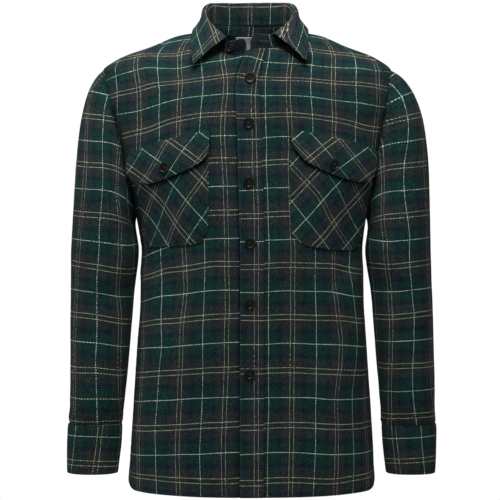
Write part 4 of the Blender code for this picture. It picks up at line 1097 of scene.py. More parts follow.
def creases(at, table, scale=1.0):
    """How far the creases move the cloth at places on the picture, or on any other pair of axes. Each one is
    a bent line from (x0, y0) past (xm, ym) to (x1, y1), with its width and its depth in millimetres."""
    flat = at.reshape(-1, 2)
    total = np.zeros(len(flat))
    for x0, y0, xm, ym, x1, y1, width, depth in table:
        w = width / scale
        near = ((flat[:, 0] > min(x0, xm, x1) - 3 * w) & (flat[:, 0] < max(x0, xm, x1) + 3 * w)
                & (flat[:, 1] > min(y0, ym, y1) - 3 * w) & (flat[:, 1] < max(y0, ym, y1) + 3 * w))
        if not near.any():
            continue
        t = np.linspace(0, 1, 61)[:, None]
        line = (1 - t) ** 2 * [x0, y0] + 2 * t * (1 - t) * np.array([xm, ym]) + t**2 * np.array([x1, y1])
        some = flat[near]
        d2 = np.full(len(some), 1e12)
        best = np.zeros(len(some))
        for i, point in enumerate(line):
            d = ((some - point) ** 2).sum(-1)
            less = d < d2
            d2[less], best[less] = d[less], i / 60
        d = np.sqrt(d2) / w
        profile = 0.6 * np.exp(-(d**2)) + 0.4 * np.exp(-2.2 * d)
        total[near] += depth * profile * np.sin(math.pi * np.clip(best, 0.02, 0.98)) ** 0.8
    return total.reshape(at.shape[:-1])


# On the picture: fronts and the front of the sleeves. Widths and depths in millimetres, inwards below zero.
FRONT_CREASES = [
    # wearer's right side, down from the armhole
    (150, 150, 156, 200, 170, 300, 16, -2.2), (138, 240, 147, 268, 178, 296, 9, -2.2),
    (134, 258, 150, 290, 196, 330, 10, 1.6), (140, 300, 160, 330, 215, 356, 12, -1.6),
    (146, 232, 160, 262, 206, 286, 8, 1.4), (136, 330, 160, 372, 212, 392, 13, 1.3),
    (150, 380, 182, 410, 226, 420, 14, -1.2), (186, 300, 190, 360, 182, 440, 14, 1.3),
    (214, 280, 210, 340, 214, 420, 10, -1.1), (160, 400, 164, 440, 160, 490, 14, 1.4),
    (206, 420, 206, 455, 204, 492, 10, -1.2), (176, 420, 178, 450, 178, 492, 9, -0.9),
    # wearer's left side
    (352, 190, 350, 240, 340, 300, 12, -2.0), (366, 240, 352, 268, 318, 300, 9, -2.0),
    (366, 262, 350, 296, 306, 330, 10, 1.5), (362, 300, 340, 336, 292, 360, 12, -1.5),
    (366, 340, 344, 376, 300, 396, 13, 1.2), (356, 384, 330, 412, 286, 424, 14, -1.1),
    (306, 280, 312, 350, 322, 430, 14, 1.2), (284, 290, 288, 350, 284, 430, 10, -1.0),
    (340, 410, 342, 450, 344, 492, 13, 1.3), (300, 420, 300, 455, 302, 492, 10, -1.1),
    (322, 440, 322, 470, 322, 494, 8, 0.8),
    # chest and shoulders
    (212, 62, 204, 90, 206, 126, 12, -1.2), (160, 62, 176, 84, 186, 124, 16, 1.3),
    (132, 84, 152, 96, 180, 96, 12, -1.0), (128, 108, 146, 122, 160, 134, 9, -1.2),
    (280, 66, 284, 94, 282, 130, 12, -1.2), (336, 62, 326, 88, 318, 126, 16, 1.3),
    (384, 84, 356, 96, 326, 96, 12, -1.0), (384, 112, 366, 124, 350, 134, 9, -1.2),
    (392, 70, 384, 92, 380, 120, 6, -1.6), (378, 66, 372, 92, 372, 124, 7, 1.2),
    # by the placket
    (264, 120, 276, 150, 282, 176, 9, -0.9), (236, 150, 224, 180, 218, 214, 9, -0.9),
    (236, 236, 222, 260, 206, 272, 9, -0.9), (265, 240, 280, 262, 296, 272, 9, -0.8),
    (236, 330, 222, 346, 208, 352, 9, -0.7), (265, 330, 280, 346, 292, 352, 9, -0.7),
    # the pockets' own fall
    (322, 190, 330, 214, 332, 246, 7, -1.5), (336, 190, 342, 214, 348, 244, 8, 1.2),
    (168, 192, 162, 214, 166, 244, 7, -1.4), (152, 190, 150, 212, 156, 240, 8, 1.0),
    (190, 190, 186, 214, 192, 240, 9, 0.9), (300, 186, 304, 210, 300, 240, 9, 0.8),
]
SLEEVE_CREASES = [
    # wearer's right sleeve
    (126, 168, 116, 196, 96, 214, 9, -2.4), (128, 196, 114, 226, 88, 244, 9, 1.8), (130, 226, 116, 250, 92, 264, 8, -2.2),
    (132, 256, 116, 276, 86, 286, 10, 1.8), (130, 284, 112, 300, 82, 300, 8, -2.0), (128, 306, 108, 322, 78, 322, 10, 1.6),
    (126, 330, 106, 338, 76, 334, 8, -1.6), (122, 352, 100, 362, 74, 356, 10, 1.4), (120, 378, 100, 386, 76, 380, 8, -1.3),
    (112, 400, 106, 412, 108, 424, 4, -1.8), (92, 402, 92, 412, 92, 425, 4, -1.4), (100, 398, 100, 412, 101, 425, 4, 1.2),
    (82, 402, 82, 414, 81, 426, 4, -1.1), (118, 404, 117, 414, 116, 426, 4, 1.0), (74, 404, 74, 414, 73, 426, 4, 1.0),
    (92, 130, 84, 170, 82, 214, 12, 1.4), (110, 116, 116, 140, 122, 166, 7, -1.6), (100, 110, 100, 150, 106, 186, 10, 1.2),
    # wearer's left sleeve
    (378, 168, 388, 196, 408, 210, 9, -2.4), (378, 198, 392, 226, 416, 240, 9, 1.8), (378, 228, 392, 250, 416, 262, 8, -2.2),
    (380, 256, 396, 274, 422, 282, 10, 1.7), (382, 286, 400, 296, 424, 294, 7, -2.2), (384, 304, 402, 316, 428, 314, 9, 1.8),
    (384, 326, 402, 334, 430, 330, 7, -2.0), (386, 344, 404, 354, 430, 350, 9, 1.4), (386, 370, 404, 378, 430, 372, 8, -1.3),
    (398, 400, 400, 412, 398, 426, 4, -1.7), (412, 400, 412, 412, 413, 426, 4, -1.4), (405, 398, 406, 412, 406, 426, 4, 1.2),
    (422, 402, 422, 414, 423, 426, 4, -1.2), (391, 402, 391, 414, 390, 426, 4, 1.0),
    (410, 130, 418, 170, 420, 214, 12, 1.3), (394, 112, 390, 140, 386, 166, 7, -1.6), (402, 104, 404, 150, 398, 186, 9, 1.1),
    # down from the top of each armhole
    (391, 76, 398, 92, 404, 110, 4, -1.8), (398, 80, 404, 94, 410, 108, 4, 1.4), (404, 86, 409, 98, 414, 112, 4, -1.4),
    (108, 84, 102, 96, 98, 112, 5, -1.3), (101, 90, 96, 100, 92, 116, 5, 1.1),
]
# Across (x) and up (z), in millimetres: the back.
BACK_CREASES = [
    (-150, -120, -120, -200, -60, -300, 26, -2.4), (150, -110, 125, -210, 70, -310, 26, -2.4),
    (-170, -200, -120, -300, -40, -380, 22, 2.0), (165, -210, 125, -300, 50, -390, 22, 2.0),
    (-165, -330, -110, -400, -30, -440, 20, -2.0), (160, -320, 110, -410, 40, -450, 20, -2.2),
    (-90, -60, -80, -160, -92, -260, 24, 1.6), (80, -60, 92, -160, 84, -270, 24, 1.6),
    (-20, -50, -14, -150, -24, -260, 20, -1.4), (26, -300, 18, -400, 30, -520, 24, 1.5),
    (-110, -440, -120, -540, -104, -700, 24, -1.9), (-50, -420, -44, -540, -56, -715, 22, 1.7),
    (12, -480, 6, -580, 14, -720, 20, -1.7), (70, -430, 78, -540, 66, -710, 22, 1.8),
    (130, -440, 138, -560, 124, -700, 24, -1.8), (-160, -480, -164, -580, -156, -700, 18, 1.6),
]
# By turn in degrees and height in millimetres: the sides of the sleeves that the picture hides.
SLEEVE_BACK_CREASES = [
    (200, -200, 240, -240, 290, -250, 16, -2.2), (190, -280, 230, -310, 280, -300, 15, 1.9),
    (205, -340, 250, -350, 310, -330, 14, -2.3), (195, -390, 240, -400, 300, -380, 15, 1.8),
    (200, -440, 245, -440, 310, -420, 14, -2.1), (190, -490, 230, -500, 280, -480, 15, 1.7),
    (210, -540, 250, -545, 310, -530, 14, -1.8), (195, -585, 230, -590, 270, -580, 12, 1.2),
]


def relief_front(p):
    return creases(to_view(p), FRONT_CREASES, MM_PER_PIXEL) + ripple(p, BROAD) + ripple(p, FINE)


def puckers(along, distance, seed, size=0.3, pitch=10.0, reach=10.0):
    """Small gathers beside a line of stitches: along it and away from it, in millimetres."""
    r = np.random.default_rng(seed)
    wave = np.zeros_like(along)
    for k in range(5):
        wave += np.sin(2 * math.pi * along / (pitch * r.uniform(0.7, 1.6)) + r.uniform(0, 6.3)) / 2.2
    return size * wave * np.exp(-np.abs(distance) / reach)


# ---------------------------------------------------------------- materials
def srgb(r, g, b):
    return tuple(((c / 255 + 0.055) / 1.055) ** 2.4 if c > 10 else c / 255 / 12.92 for c in (r, g, b)) + (1.0,)


WEFT = {
    "green": srgb(22, 58, 49), "navy": srgb(23, 36, 51), "brown": srgb(48, 51, 52),
    "white": srgb(234, 245, 252), "cream": srgb(202, 203, 172),
}
# The warp lies lower in the cloth and its colours are nearer to one another.
WARP = {
    "green": srgb(21, 57, 48), "navy": srgb(22, 39, 49), "brown": srgb(48, 53, 53),
    "white": srgb(214, 226, 235), "cream": srgb(180, 183, 156),
}
# One warp end and one pick, in millimetres: whole numbers of them make half a repeat.
END, PICK = REPEAT_U / 70, REPEAT_V / 84


class Nodes:
    """A short way to add shader nodes and link them."""

    def __init__(self, name):
        self.material = bpy.data.materials.new(name)
        self.material.use_nodes = True
        self.tree = self.material.node_tree
        self.shader = self.tree.nodes["Principled BSDF"]

    def link(self, value, socket):
        if hasattr(value, "links"):
            self.tree.links.new(value, socket)
        else:
            socket.default_value = value

    def add(self, kind, inputs=(), output=0, **settings):
        node = self.tree.nodes.new(kind)
        for key, value in settings.items():
            setattr(node, key, value)
        for key, value in (inputs.items() if isinstance(inputs, dict) else enumerate(inputs)):
            self.link(value, node.inputs[key])
        return node.outputs[output]

    def math(self, operation, *inputs, clamp=False):
        return self.add("ShaderNodeMath", inputs, operation=operation, use_clamp=clamp)

    def noise(self, vector, scale, detail=2.0, roughness=0.5):
        return self.add("ShaderNodeTexNoise", {"Vector": vector, "Scale": scale, "Detail": detail,
                                               "Roughness": roughness})

    def ramp(self, value, stops, interpolation="LINEAR"):
        node = self.tree.nodes.new("ShaderNodeValToRGB")
        self.link(value, node.inputs[0])
        ramp = node.color_ramp
        ramp.interpolation = interpolation
        ramp.elements[0].position, ramp.elements[0].color = stops[0]
        ramp.elements[1].position, ramp.elements[1].color = stops[-1]
        for position, colour in stops[1:-1]:
            element = ramp.elements.new(position)
            element.color = colour
        return node.outputs[0]

    def mix(self, factor, a, b, blend="MIX"):
        node = self.tree.nodes.new("ShaderNodeMix")
        node.data_type, node.blend_type = "RGBA", blend
        self.link(factor, node.inputs[0])
        self.link(a, node.inputs[6])
        self.link(b, node.inputs[7])
        return node.outputs[2]

    def bump(self, height, distance, strength, normal=None):
        inputs = {"Height": height, "Distance": distance, "Strength": strength}
        if normal is not None:
            inputs["Normal"] = normal
        return self.add("ShaderNodeBump", inputs)


def yarn_stops(half, pair, y):
    """The yarns from the middle of a white line to the middle of a cream pair, as parts of that distance."""
    edges = [(0.0, "white"), (0.52, "green"), (15.0, "navy"), (23.0, "brown"), (half - pair - 0.5, "cream"),
             (half - pair + 0.5, "brown")]
    stops = [(0.0, y["white"])]
    for (start, name), (_, before) in zip(edges[1:], edges[:-1], strict=True):
        soft = 1.9 if name in ("navy", "brown") and before != "cream" else 0.02
        stops += [((start - soft) / half, y[before]), ((start + soft) / half, y[name])]
    return [*stops, (1.0, y["brown"])]


def flannel():
    n = Nodes("flannel")
    uv = n.add("ShaderNodeUVMap", uv_map="cloth")
    split = n.tree.nodes.new("ShaderNodeSeparateXYZ")
    n.link(uv, split.inputs[0])
    # The yarns wander a little, and the brushed nap frays the edges of the stripes.
    wander = n.add("ShaderNodeTexNoise", {"Vector": uv, "Scale": 34.0, "Detail": 1.0}, output=1)
    fray = n.add("ShaderNodeTexNoise", {"Vector": uv, "Scale": 900.0, "Detail": 2.0}, output=1)
    moved = []
    for axis in (0, 1):
        parts = []
        for source, size in ((wander, 1.3), (fray, 0.62)):
            s = n.tree.nodes.new("ShaderNodeSeparateXYZ")
            n.link(source, s.inputs[0])
            parts.append(n.math("MULTIPLY", n.math("SUBTRACT", s.outputs[axis], 0.5), size))
        mm = n.math("MULTIPLY", split.outputs[axis], 1000.0)
        moved.append(n.math("ADD", mm, n.math("ADD", parts[0], parts[1])))
    half_u, half_v = REPEAT_U / 2, REPEAT_V / 2
    # Each yarn has one colour over its whole width, so a line is one yarn wide.
    u = n.math("ADD", n.math("DIVIDE", moved[0], END), 0.5)
    v = n.math("ADD", n.math("DIVIDE", moved[1], PICK), 0.5)
    end_at = n.math("MULTIPLY", n.math("FLOOR", u), END)
    pick_at = n.math("MULTIPLY", n.math("FLOOR", v), PICK)
    warp = n.ramp(n.math("DIVIDE", n.math("PINGPONG", end_at, half_u), half_u), yarn_stops(half_u, round(PAIR_U / END) * END, WARP))
    weft = n.ramp(n.math("DIVIDE", n.math("PINGPONG", pick_at, half_v), half_v), yarn_stops(half_v, round(PAIR_V / PICK) * PICK, WEFT))
    # Two over and two under, each pick one yarn on: the twill's slanting lines.
    count = n.math("ADD", n.math("FLOOR", u), n.math("FLOOR", v))
    over = n.math("LESS_THAN", n.math("FLOORED_MODULO", count, 4.0), 1.5)
    beside = n.math("GREATER_THAN", n.math("ABSOLUTE", n.math("SUBTRACT", n.math("FRACT", u), 0.5)), 0.43)
    over = n.math("MAXIMUM", over, beside)
    cloth = n.mix(over, warp, weft)
    # Heathered yarn, slubs, and slow changes of shade over the garment
    place = n.tree.nodes.new("ShaderNodeTexCoord").outputs["Object"]
    stretch = n.add("ShaderNodeVectorMath", (uv, (1.0, 7.0, 1.0)), operation="MULTIPLY")
    fleck = n.noise(stretch, 420.0, 2.0, 0.6)
    shade = n.noise(place, 7.0, 3.0, 0.6)
    nap = n.noise(uv, 310.0, 4.0, 0.7)
    gain = n.math("ADD", n.math("MULTIPLY", n.math("SUBTRACT", fleck, 0.5), 1.5),
                  n.math("MULTIPLY", n.math("SUBTRACT", shade, 0.5), 0.5))
    gain = n.math("ADD", gain, n.math("MULTIPLY", n.math("SUBTRACT", nap, 0.5), 1.7))
    cell = n.tree.nodes.new("ShaderNodeCombineXYZ")
    n.link(n.math("FLOOR", u), cell.inputs[0])
    n.link(n.math("FLOOR", n.math("MULTIPLY", v, 0.5)), cell.inputs[1])
    grain = n.add("ShaderNodeTexWhiteNoise", {"Vector": cell.outputs[0]})
    gain = n.math("ADD", gain, n.math("MULTIPLY", n.math("SUBTRACT", grain, 0.5), 1.1))
    gain = n.math("MAXIMUM", n.math("ADD", gain, 1.0), 0.25)
    tone = n.tree.nodes.new("ShaderNodeCombineXYZ")
    for k in range(3):
        n.link(gain, tone.inputs[k])
    cloth = n.mix(1.0, cloth, tone.outputs[0], "MULTIPLY")
    # Raised fibres lighten the cloth in soft patches, and wear shows at the folded edges. The attribute that marks the
    # wear also carries painted shade, below zero.
    fuzz = n.math("MULTIPLY", n.math("SUBTRACT", nap, 0.42, clamp=True), 0.05)
    cloth = n.mix(fuzz, cloth, srgb(96, 106, 106))
    wear_and_shade = n.add("ShaderNodeAttribute", output=2, attribute_name="wear_and_painted_shade")
    painted_shade = n.math("MULTIPLY", wear_and_shade, -0.88, clamp=True)
    wear_and_shade = n.math("MULTIPLY", n.math("MULTIPLY", wear_and_shade, nap), 0.14, clamp=True)
    cloth = n.mix(wear_and_shade, cloth, srgb(104, 116, 114))
    # Painted shade: the cloth drawn nearly black where the attribute is below zero, deep in folds, along seams, under
    # the flaps and collar and beside the placket's edge
    cloth = n.mix(painted_shade, cloth, srgb(3, 5, 6))
    n.link(cloth, n.shader.inputs["Base Color"])
    n.shader.inputs["Roughness"].default_value = 0.93
    n.shader.inputs["Specular IOR Level"].default_value = 0.08
    n.shader.inputs["Sheen Weight"].default_value = 0.04
    n.shader.inputs["Sheen Roughness"].default_value = 0.55
    n.shader.inputs["Sheen Tint"].default_value = (0.72, 0.80, 0.80, 1.0)
    # Round yarns, the twill's steps, and nap
    across = n.math("ABSOLUTE", n.math("SINE", n.math("MULTIPLY", u, math.pi)))
    along = n.math("ABSOLUTE", n.math("SINE", n.math("MULTIPLY", v, math.pi)))
    yarn = n.add("ShaderNodeMix", {0: over, 2: across, 3: along})
    height = n.math("ADD", yarn, n.math("MULTIPLY", nap, 1.4))
    normal = n.bump(height, 0.00022, 0.45)
    soft = n.noise(place, 95.0, 3.0, 0.6)
    normal = n.bump(soft, 0.0012, 0.35, normal)
    n.link(normal, n.shader.inputs["Normal"])
    return n.material


def resin():
    n = Nodes("button_resin")
    place = n.tree.nodes.new("ShaderNodeTexCoord").outputs["Object"]
    swirl = n.add("ShaderNodeVectorMath", (place, (1.0, 2.4, 1.0)), operation="MULTIPLY")
    cloud = n.noise(swirl, 150.0, 4.0, 0.65)
    colour = n.ramp(cloud, [(0.0, srgb(5, 7, 5)), (0.45, srgb(13, 15, 11)), (0.65, srgb(27, 28, 20)),
                            (1.0, srgb(58, 56, 42))])
    n.link(colour, n.shader.inputs["Base Color"])
    n.shader.inputs["Roughness"].default_value = 0.34
    n.shader.inputs["Specular IOR Level"].default_value = 0.26
    n.shader.inputs["Coat Weight"].default_value = 0.06
    n.shader.inputs["Coat Roughness"].default_value = 0.12
    scratch = n.noise(place, 1400.0, 2.0)
    n.link(n.bump(scratch, 0.00008, 0.3), n.shader.inputs["Normal"])
    return n.material


def thread(name, colour, lighter):
    n = Nodes(name)
    place = n.tree.nodes.new("ShaderNodeTexCoord").outputs["Object"]
    tone = n.noise(place, 900.0, 2.0)
    n.link(n.mix(tone, colour, lighter), n.shader.inputs["Base Color"])
    n.shader.inputs["Roughness"].default_value = 0.6
    n.shader.inputs["Sheen Weight"].default_value = 0.2
    n.link(n.bump(n.noise(place, 2600.0, 1.0), 0.0001, 0.4), n.shader.inputs["Normal"])
    return n.material


def woven_label():
    n = Nodes("label_tape")
    uv = n.add("ShaderNodeUVMap", uv_map="cloth")
    split = n.tree.nodes.new("ShaderNodeSeparateXYZ")
    n.link(uv, split.inputs[0])
    ribs = n.math("ABSOLUTE", n.math("SINE", n.math("MULTIPLY", split.outputs[1], 1000 * math.pi / 0.5)))
    picks = n.math("ABSOLUTE", n.math("SINE", n.math("MULTIPLY", split.outputs[0], 1000 * math.pi / 0.4)))
    weave = n.math("ADD", n.math("MULTIPLY", ribs, 0.7), n.math("MULTIPLY", picks, 0.3))
    cloud = n.noise(uv, 60.0, 3.0)
    shade = n.math("ADD", n.math("MULTIPLY", weave, 0.5), n.math("MULTIPLY", cloud, 0.5))
    n.link(n.ramp(shade, [(0.0, srgb(226, 234, 242)), (0.5, srgb(244, 249, 254)), (1.0, srgb(250, 253, 255))]),
           n.shader.inputs["Base Color"])
    n.shader.inputs["Roughness"].default_value = 0.55
    n.shader.inputs["Sheen Weight"].default_value = 0.15
    n.link(n.bump(weave, 0.0002, 0.4), n.shader.inputs["Normal"])
    return n.material


FLANNEL, RESIN, LABEL_TAPE = flannel(), resin(), woven_label()
THREAD = thread("topstitch_thread", srgb(20, 33, 31), srgb(40, 54, 50))
BUTTON_THREAD = thread("button_thread", srgb(24, 29, 25), srgb(62, 66, 56))


# ---------------------------------------------------------------- stitches
STITCHES = []  # (middle, direction, outwards, length, width)


def stitch_line(points, normals, pitch=3.0, length=2.1, width=0.42, sink=0.05):
    """Stitches along a line on the cloth, in millimetres."""
    points = np.asarray(points, float)
    total = np.linalg.norm(np.diff(points, axis=0), axis=1).sum()
    count = max(2, int(total / pitch))
    s = np.concatenate([[0], np.cumsum(np.linalg.norm(np.diff(points, axis=0), axis=1))])
    at = (np.arange(count) + 0.5) / count * total
    middle = np.stack([np.interp(at, s, points[:, k]) for k in range(3)], -1)
    out = unit(np.stack([np.interp(at, s, np.asarray(normals)[:, k]) for k in range(3)], -1))
    ahead = np.stack([np.interp(np.minimum(at + 0.8, total), s, points[:, k]) for k in range(3)], -1)
    behind = np.stack([np.interp(np.maximum(at - 0.8, 0), s, points[:, k]) for k in range(3)], -1)
    way = unit(ahead - behind)
    for m, w, o in zip(middle, way, out, strict=True):
        STITCHES.append((m - o * sink, w, o, length, width))


def build_stitches(name, stitches, material):
    """All the stitches as one mesh: each is a low bead of thread."""
    profile = [(-0.5, 0.0), (-0.36, 0.75), (0.0, 1.0), (0.36, 0.75), (0.5, 0.0)]
    ring = 5
    template, faces = [(-0.5, 0.0, -0.3)], []
    for along, size in profile[1:-1]:
        for k in range(ring):
            a = 2 * math.pi * k / ring
            template.append((along, size * math.cos(a), size * math.sin(a)))
    template.append((0.5, 0.0, -0.3))
    last = len(template) - 1
    for k in range(ring):
        k2 = (k + 1) % ring
        faces.append((0, 1 + k2, 1 + k, 1 + k))
        for r in range(2):
            a, b = 1 + r * ring, 1 + (r + 1) * ring
            faces.append((a + k, a + k2, b + k2, b + k))
        faces.append((last, 1 + 2 * ring + k, 1 + 2 * ring + k2, 1 + 2 * ring + k2))
    template = np.array(template)
    verts, polys = [], []
    for i, (m, w, o, length, width) in enumerate(stitches):
        side = np.cross(o, w)
        verts.append(m + template[:, :1] * length * w + template[:, 1:2] * width / 2 * side
                     + template[:, 2:] * width * 0.55 * o)
        for face in faces:
            corners = list(dict.fromkeys(face))
            polys.append([c + i * len(template) for c in corners])
    return new_mesh(name, np.concatenate(verts), polys, material)


# ---------------------------------------------------------------- the body
HEIGHTS = panel_heights(steps(120), steps(84), steps(22))
FRONT_COLUMNS, BACK_COLUMNS = steps(90), 2 * steps(90) + 1
ONE, TWO = 1.15, 1.9  # walls of one layer and of two
SIDES = {-1: "right", 1: "left"}
CHEST = (0, 0, -300)
NODES = []  # (piece, the CAD nodes it stands for, material slot)
SHEETS = []  # (piece, name)


def shown(obj, slot, *nodes):
    NODES.append((obj, nodes, slot))
    return obj


def front_grid(side):
    rows, alongs = [], []
    for height in HEIGHTS:
        edges = row_of(EDGES, EDGE, height)
        start = edges["right_front"] if side < 0 else edges["left_front"]
        end = quarter_lengths(height)[0] - armhole_inset(side, height)[0] - side_gap(height)
        along = np.linspace(start, end, FRONT_COLUMNS)
        rows.append(body_row(side, height, along))
        alongs.append(along)
    return np.array(rows), np.array(alongs)


def edge_fade(p, joined):
    """None at the edges that are sewn to another piece, and all of it 14 mm away."""
    fade = np.ones(p.shape[:2])
    across, up = arc(p, 1), arc(p, 0)
    if "left" in joined:
        fade *= smooth(0, 14, across)
    if "right" in joined:
        fade *= smooth(0, 14, across[:, -1:] - across)
    if "top" in joined:
        fade *= smooth(0, 12, up[-1:] - up)
    return fade


def climb(p, along, height):
    """How far up the cloth each point lies: its height below the chest, and measured on the cloth above."""
    steps_up = np.sqrt(np.maximum((np.diff(p, axis=0) ** 2).sum(-1) - np.diff(along, axis=0) ** 2, 0))
    chest = np.searchsorted(HEIGHTS, 600.0)
    up = np.array(height, float)
    up[chest + 1:] = up[chest] + np.cumsum(steps_up[chest:], axis=0)
    return up


def round_hem(p, height, radius=12.5):
    """Rounds the lower corners of the body, as seen from the front, where the hem goes round the side."""
    x = p[..., 0]
    edge = np.where(x < 0, -x.min(1, keepdims=True), x.max(1, keepdims=True))
    inside = np.clip(edge - abs(x), 0, radius)
    rise = radius - np.sqrt(radius**2 - (radius - inside) ** 2)
    p = p.copy()
    p[..., 2] += rise * smooth(48, 0, height)
    return p


tall = np.array(HEIGHTS)[:, None]
front = {}
for side in (-1, 1):
    base, along = front_grid(side)
    base = round_hem(base, tall)
    n, flipped = grid_normals(base, away=CHEST)
    across = arc(base, 1)
    to_seam = across[:, -1:] - across
    v0 = np.broadcast_to(tall, along.shape)
    u = fitted(base, -along if side < 0 else along,
               upright(RIGHT_FRONT_U if side < 0 else LEFT_FRONT_U), REPEAT_U, n)
    v = fitted(base, climb(base, along, v0), level(RIGHT_FRONT_V if side < 0 else LEFT_FRONT_V), REPEAT_V, n)
    d = relief_front(base) * edge_fade(base, ("right", "top"))
    d += puckers(v0, to_seam, 11 + side, 0.32, 11, 9) * smooth(0, 4, to_seam)
    d -= 0.35 * bump(to_seam - 7.0, 1.3)
    d -= 0.3 * bump(v0 - 9.0, 1.2) + puckers(along, v0 - 5, 13 + side, 0.16, 9, 8)
    if side < 0:
        # it lies back a little where the placket's free edge stands off
        edge = np.array([row_of(EDGES, EDGE, h)["placket_from"] for h in HEIGHTS])[:, None]
        d -= 2.4 * bump(-along - (edge - 0.5), 3.4) * smooth(0, 10, NECK_HEIGHT - tall)
    p = base + n * d[..., None]
    front[side] = dict(base=base, along=along, p=p, n=grid_normals(p, away=CHEST)[0], u=u, v=v, d=d)
    wear_and_painted_shade = 0.8 * bump(v0, 2.5)
    thick = ONE + 0.9 * smooth(10.5, 8.5, v0)
    obj = shell(f"cloth_{SIDES[side]}_front", p, thick, np.stack([u, v], -1), FLANNEL, wear_and_painted_shade=wear_and_painted_shade)
    shown(obj, "flannel", f"{SIDES[side]}_front")
    SHEETS.append(obj)

# The back
rows, alongs = [], []
for height in HEIGHTS:
    quarter_front, quarter_back = quarter_lengths(height)
    halves, half_along = [], []
    for side in (-1, 1):
        start = quarter_front + armhole_inset(side, height)[1] + side_gap(height)
        along = np.linspace(start, quarter_front + quarter_back, (BACK_COLUMNS + 1) // 2)
        halves.append(body_row(side, height, along))
        half_along.append((quarter_front + quarter_back - along) * side)
    rows.append(np.concatenate([halves[0], halves[1][::-1][1:]]))
    alongs.append(np.concatenate([half_along[0], half_along[1][::-1][1:]]))
base, along = round_hem(np.array(rows), tall), np.array(alongs)
n, flipped = grid_normals(base, away=CHEST)
across = arc(base, 1)
to_seam = np.minimum(across, across[:, -1:] - across)
v0 = np.broadcast_to(tall, along.shape)
held = np.minimum(np.arange(len(HEIGHTS)), np.searchsorted(HEIGHTS, 600.0))
shift = [front[s]["v"][held, -1:] - tall[held] for s in (-1, 1)]
part = across / across[:, -1:]
v = climb(base, along, v0) + shift[0] * (1 - part) + shift[1] * part
u = along + REPEAT_U / 2
d = creases(base[..., [0, 2]], BACK_CREASES) + ripple(base, BROAD) + ripple(base, FINE)
d *= smooth(0, 14, to_seam) * edge_fade(base, ("top",))
d += puckers(v0, to_seam, 17, 0.32, 11, 9) * smooth(0, 4, to_seam)
d -= 0.35 * bump(to_seam - 7.0, 1.3) + 0.3 * bump(v0 - 9.0, 1.2) + puckers(along, v0 - 5, 15, 0.16, 9, 8)
p = base + n * d[..., None]
back = dict(base=base, p=p, n=grid_normals(p, away=CHEST)[0], u=u, v=v)
obj = shell("cloth_back", p, ONE + 0.9 * smooth(10.5, 8.5, v0), np.stack([u, v], -1), FLANNEL,
            wear_and_painted_shade=0.8 * bump(v0, 2.5))
shown(obj, "flannel", "back")
SHEETS.append(obj)

# The placket lies on both fronts: its free edge stands off a little and the sewn one dips.
PLACKET_COLUMNS = steps(22)
rows, alongs = [], []
for height in HEIGHTS:
    edges = row_of(EDGES, EDGE, height)
    along = np.linspace(edges["placket_from"], edges["placket_to"], PLACKET_COLUMNS)
    rows.append(body_row(1, height, along))
    alongs.append(along)
base, along = np.array(rows), np.array(alongs)
n = grid_normals(base, away=CHEST)[0]
across = arc(base, 1)
width = across[:, -1:]
v0 = np.broadcast_to(tall, along.shape)
d = relief_front(base) * edge_fade(base, ("top",))
lift = 2.7 + 1.1 * smooth(7, 0, across) - 0.9 * smooth(2.6, 0, width - across)
lift = lift - 0.28 * (bump(across - 5.5, 1.0) + bump(width - across - 5.0, 1.0))
lift = lift + puckers(v0, across - 5.5, 21, 0.15, 10, 5) + puckers(v0, width - across - 5, 22, 0.2, 10, 5)
lift = lift + 0.35 * np.sin(v0 / 61) * smooth(9, 0, across)
u = fitted(base, along, PLACKET_U, REPEAT_U, n, 0.05)
v = fitted(base, v0, level(PLACKET_V), REPEAT_V, n)
p = base + n * (d + lift)[..., None]
placket = dict(p=p, n=grid_normals(p, away=CHEST)[0], across=across, width=width, along=along)
obj = shell("cloth_placket", p, TWO, np.stack([u, v], -1), FLANNEL, wear_and_painted_shade=0.7 * bump(across, 2.0))
shown(obj, "flannel", "placket")
SHEETS.append(obj)


# ---------------------------------------------------------------- pockets and flaps
def tree_of(grid):
    rows, columns = grid.shape[:2]
    index = np.arange(rows * columns).reshape(rows, columns)
    quad = np.stack([index[:-1, :-1], index[:-1, 1:], index[1:, 1:], index[1:, :-1]], -1).reshape(-1, 4)
    return BVHTree.FromPolygons(grid.reshape(-1, 3).tolist(), quad.tolist())


def onto(tree, xz, from_y=-400.0, way=1.0):
    """Points of the surface at x and z as seen from the front."""
    found = np.zeros((*xz.shape[:-1], 3))
    for i in np.ndindex(xz.shape[:-1]):
        x, z = xz[i]
        hit = tree.ray_cast(Vector((x, from_y, z)), Vector((0, way, 0)))
        if hit[0] is None:
            hit = tree.find_nearest(Vector((x, -95.0, z)))
        found[i] = hit[0]
    return found


def chaikin(points, times=2):
    points = np.asarray(points, float)
    for _ in range(times):
        a, b = points[:-1] * 0.75 + points[1:] * 0.25, points[:-1] * 0.25 + points[1:] * 0.75
        points = np.concatenate([points[:1], np.stack([a, b], 1).reshape(-1, points.shape[1]), points[-1:]])
    return points


def patch(top, bottom, left, right, rows, columns):
    """A grid of x and z inside four sides. top and bottom run left to right, left and right run downwards."""
    top, bottom = resample(chaikin(top), columns), resample(chaikin(bottom), columns)
    left, right = resample(chaikin(left), rows), resample(chaikin(right), rows)
    s, t = np.linspace(0, 1, columns)[None, :, None], np.linspace(0, 1, rows)[:, None, None]
    return ((1 - t) * top[None] + t * bottom[None] + (1 - s) * left[:, None] + s * right[:, None]
            - (1 - s) * (1 - t) * top[0] - s * (1 - t) * top[-1] - (1 - s) * t * bottom[0] - s * t * bottom[-1])


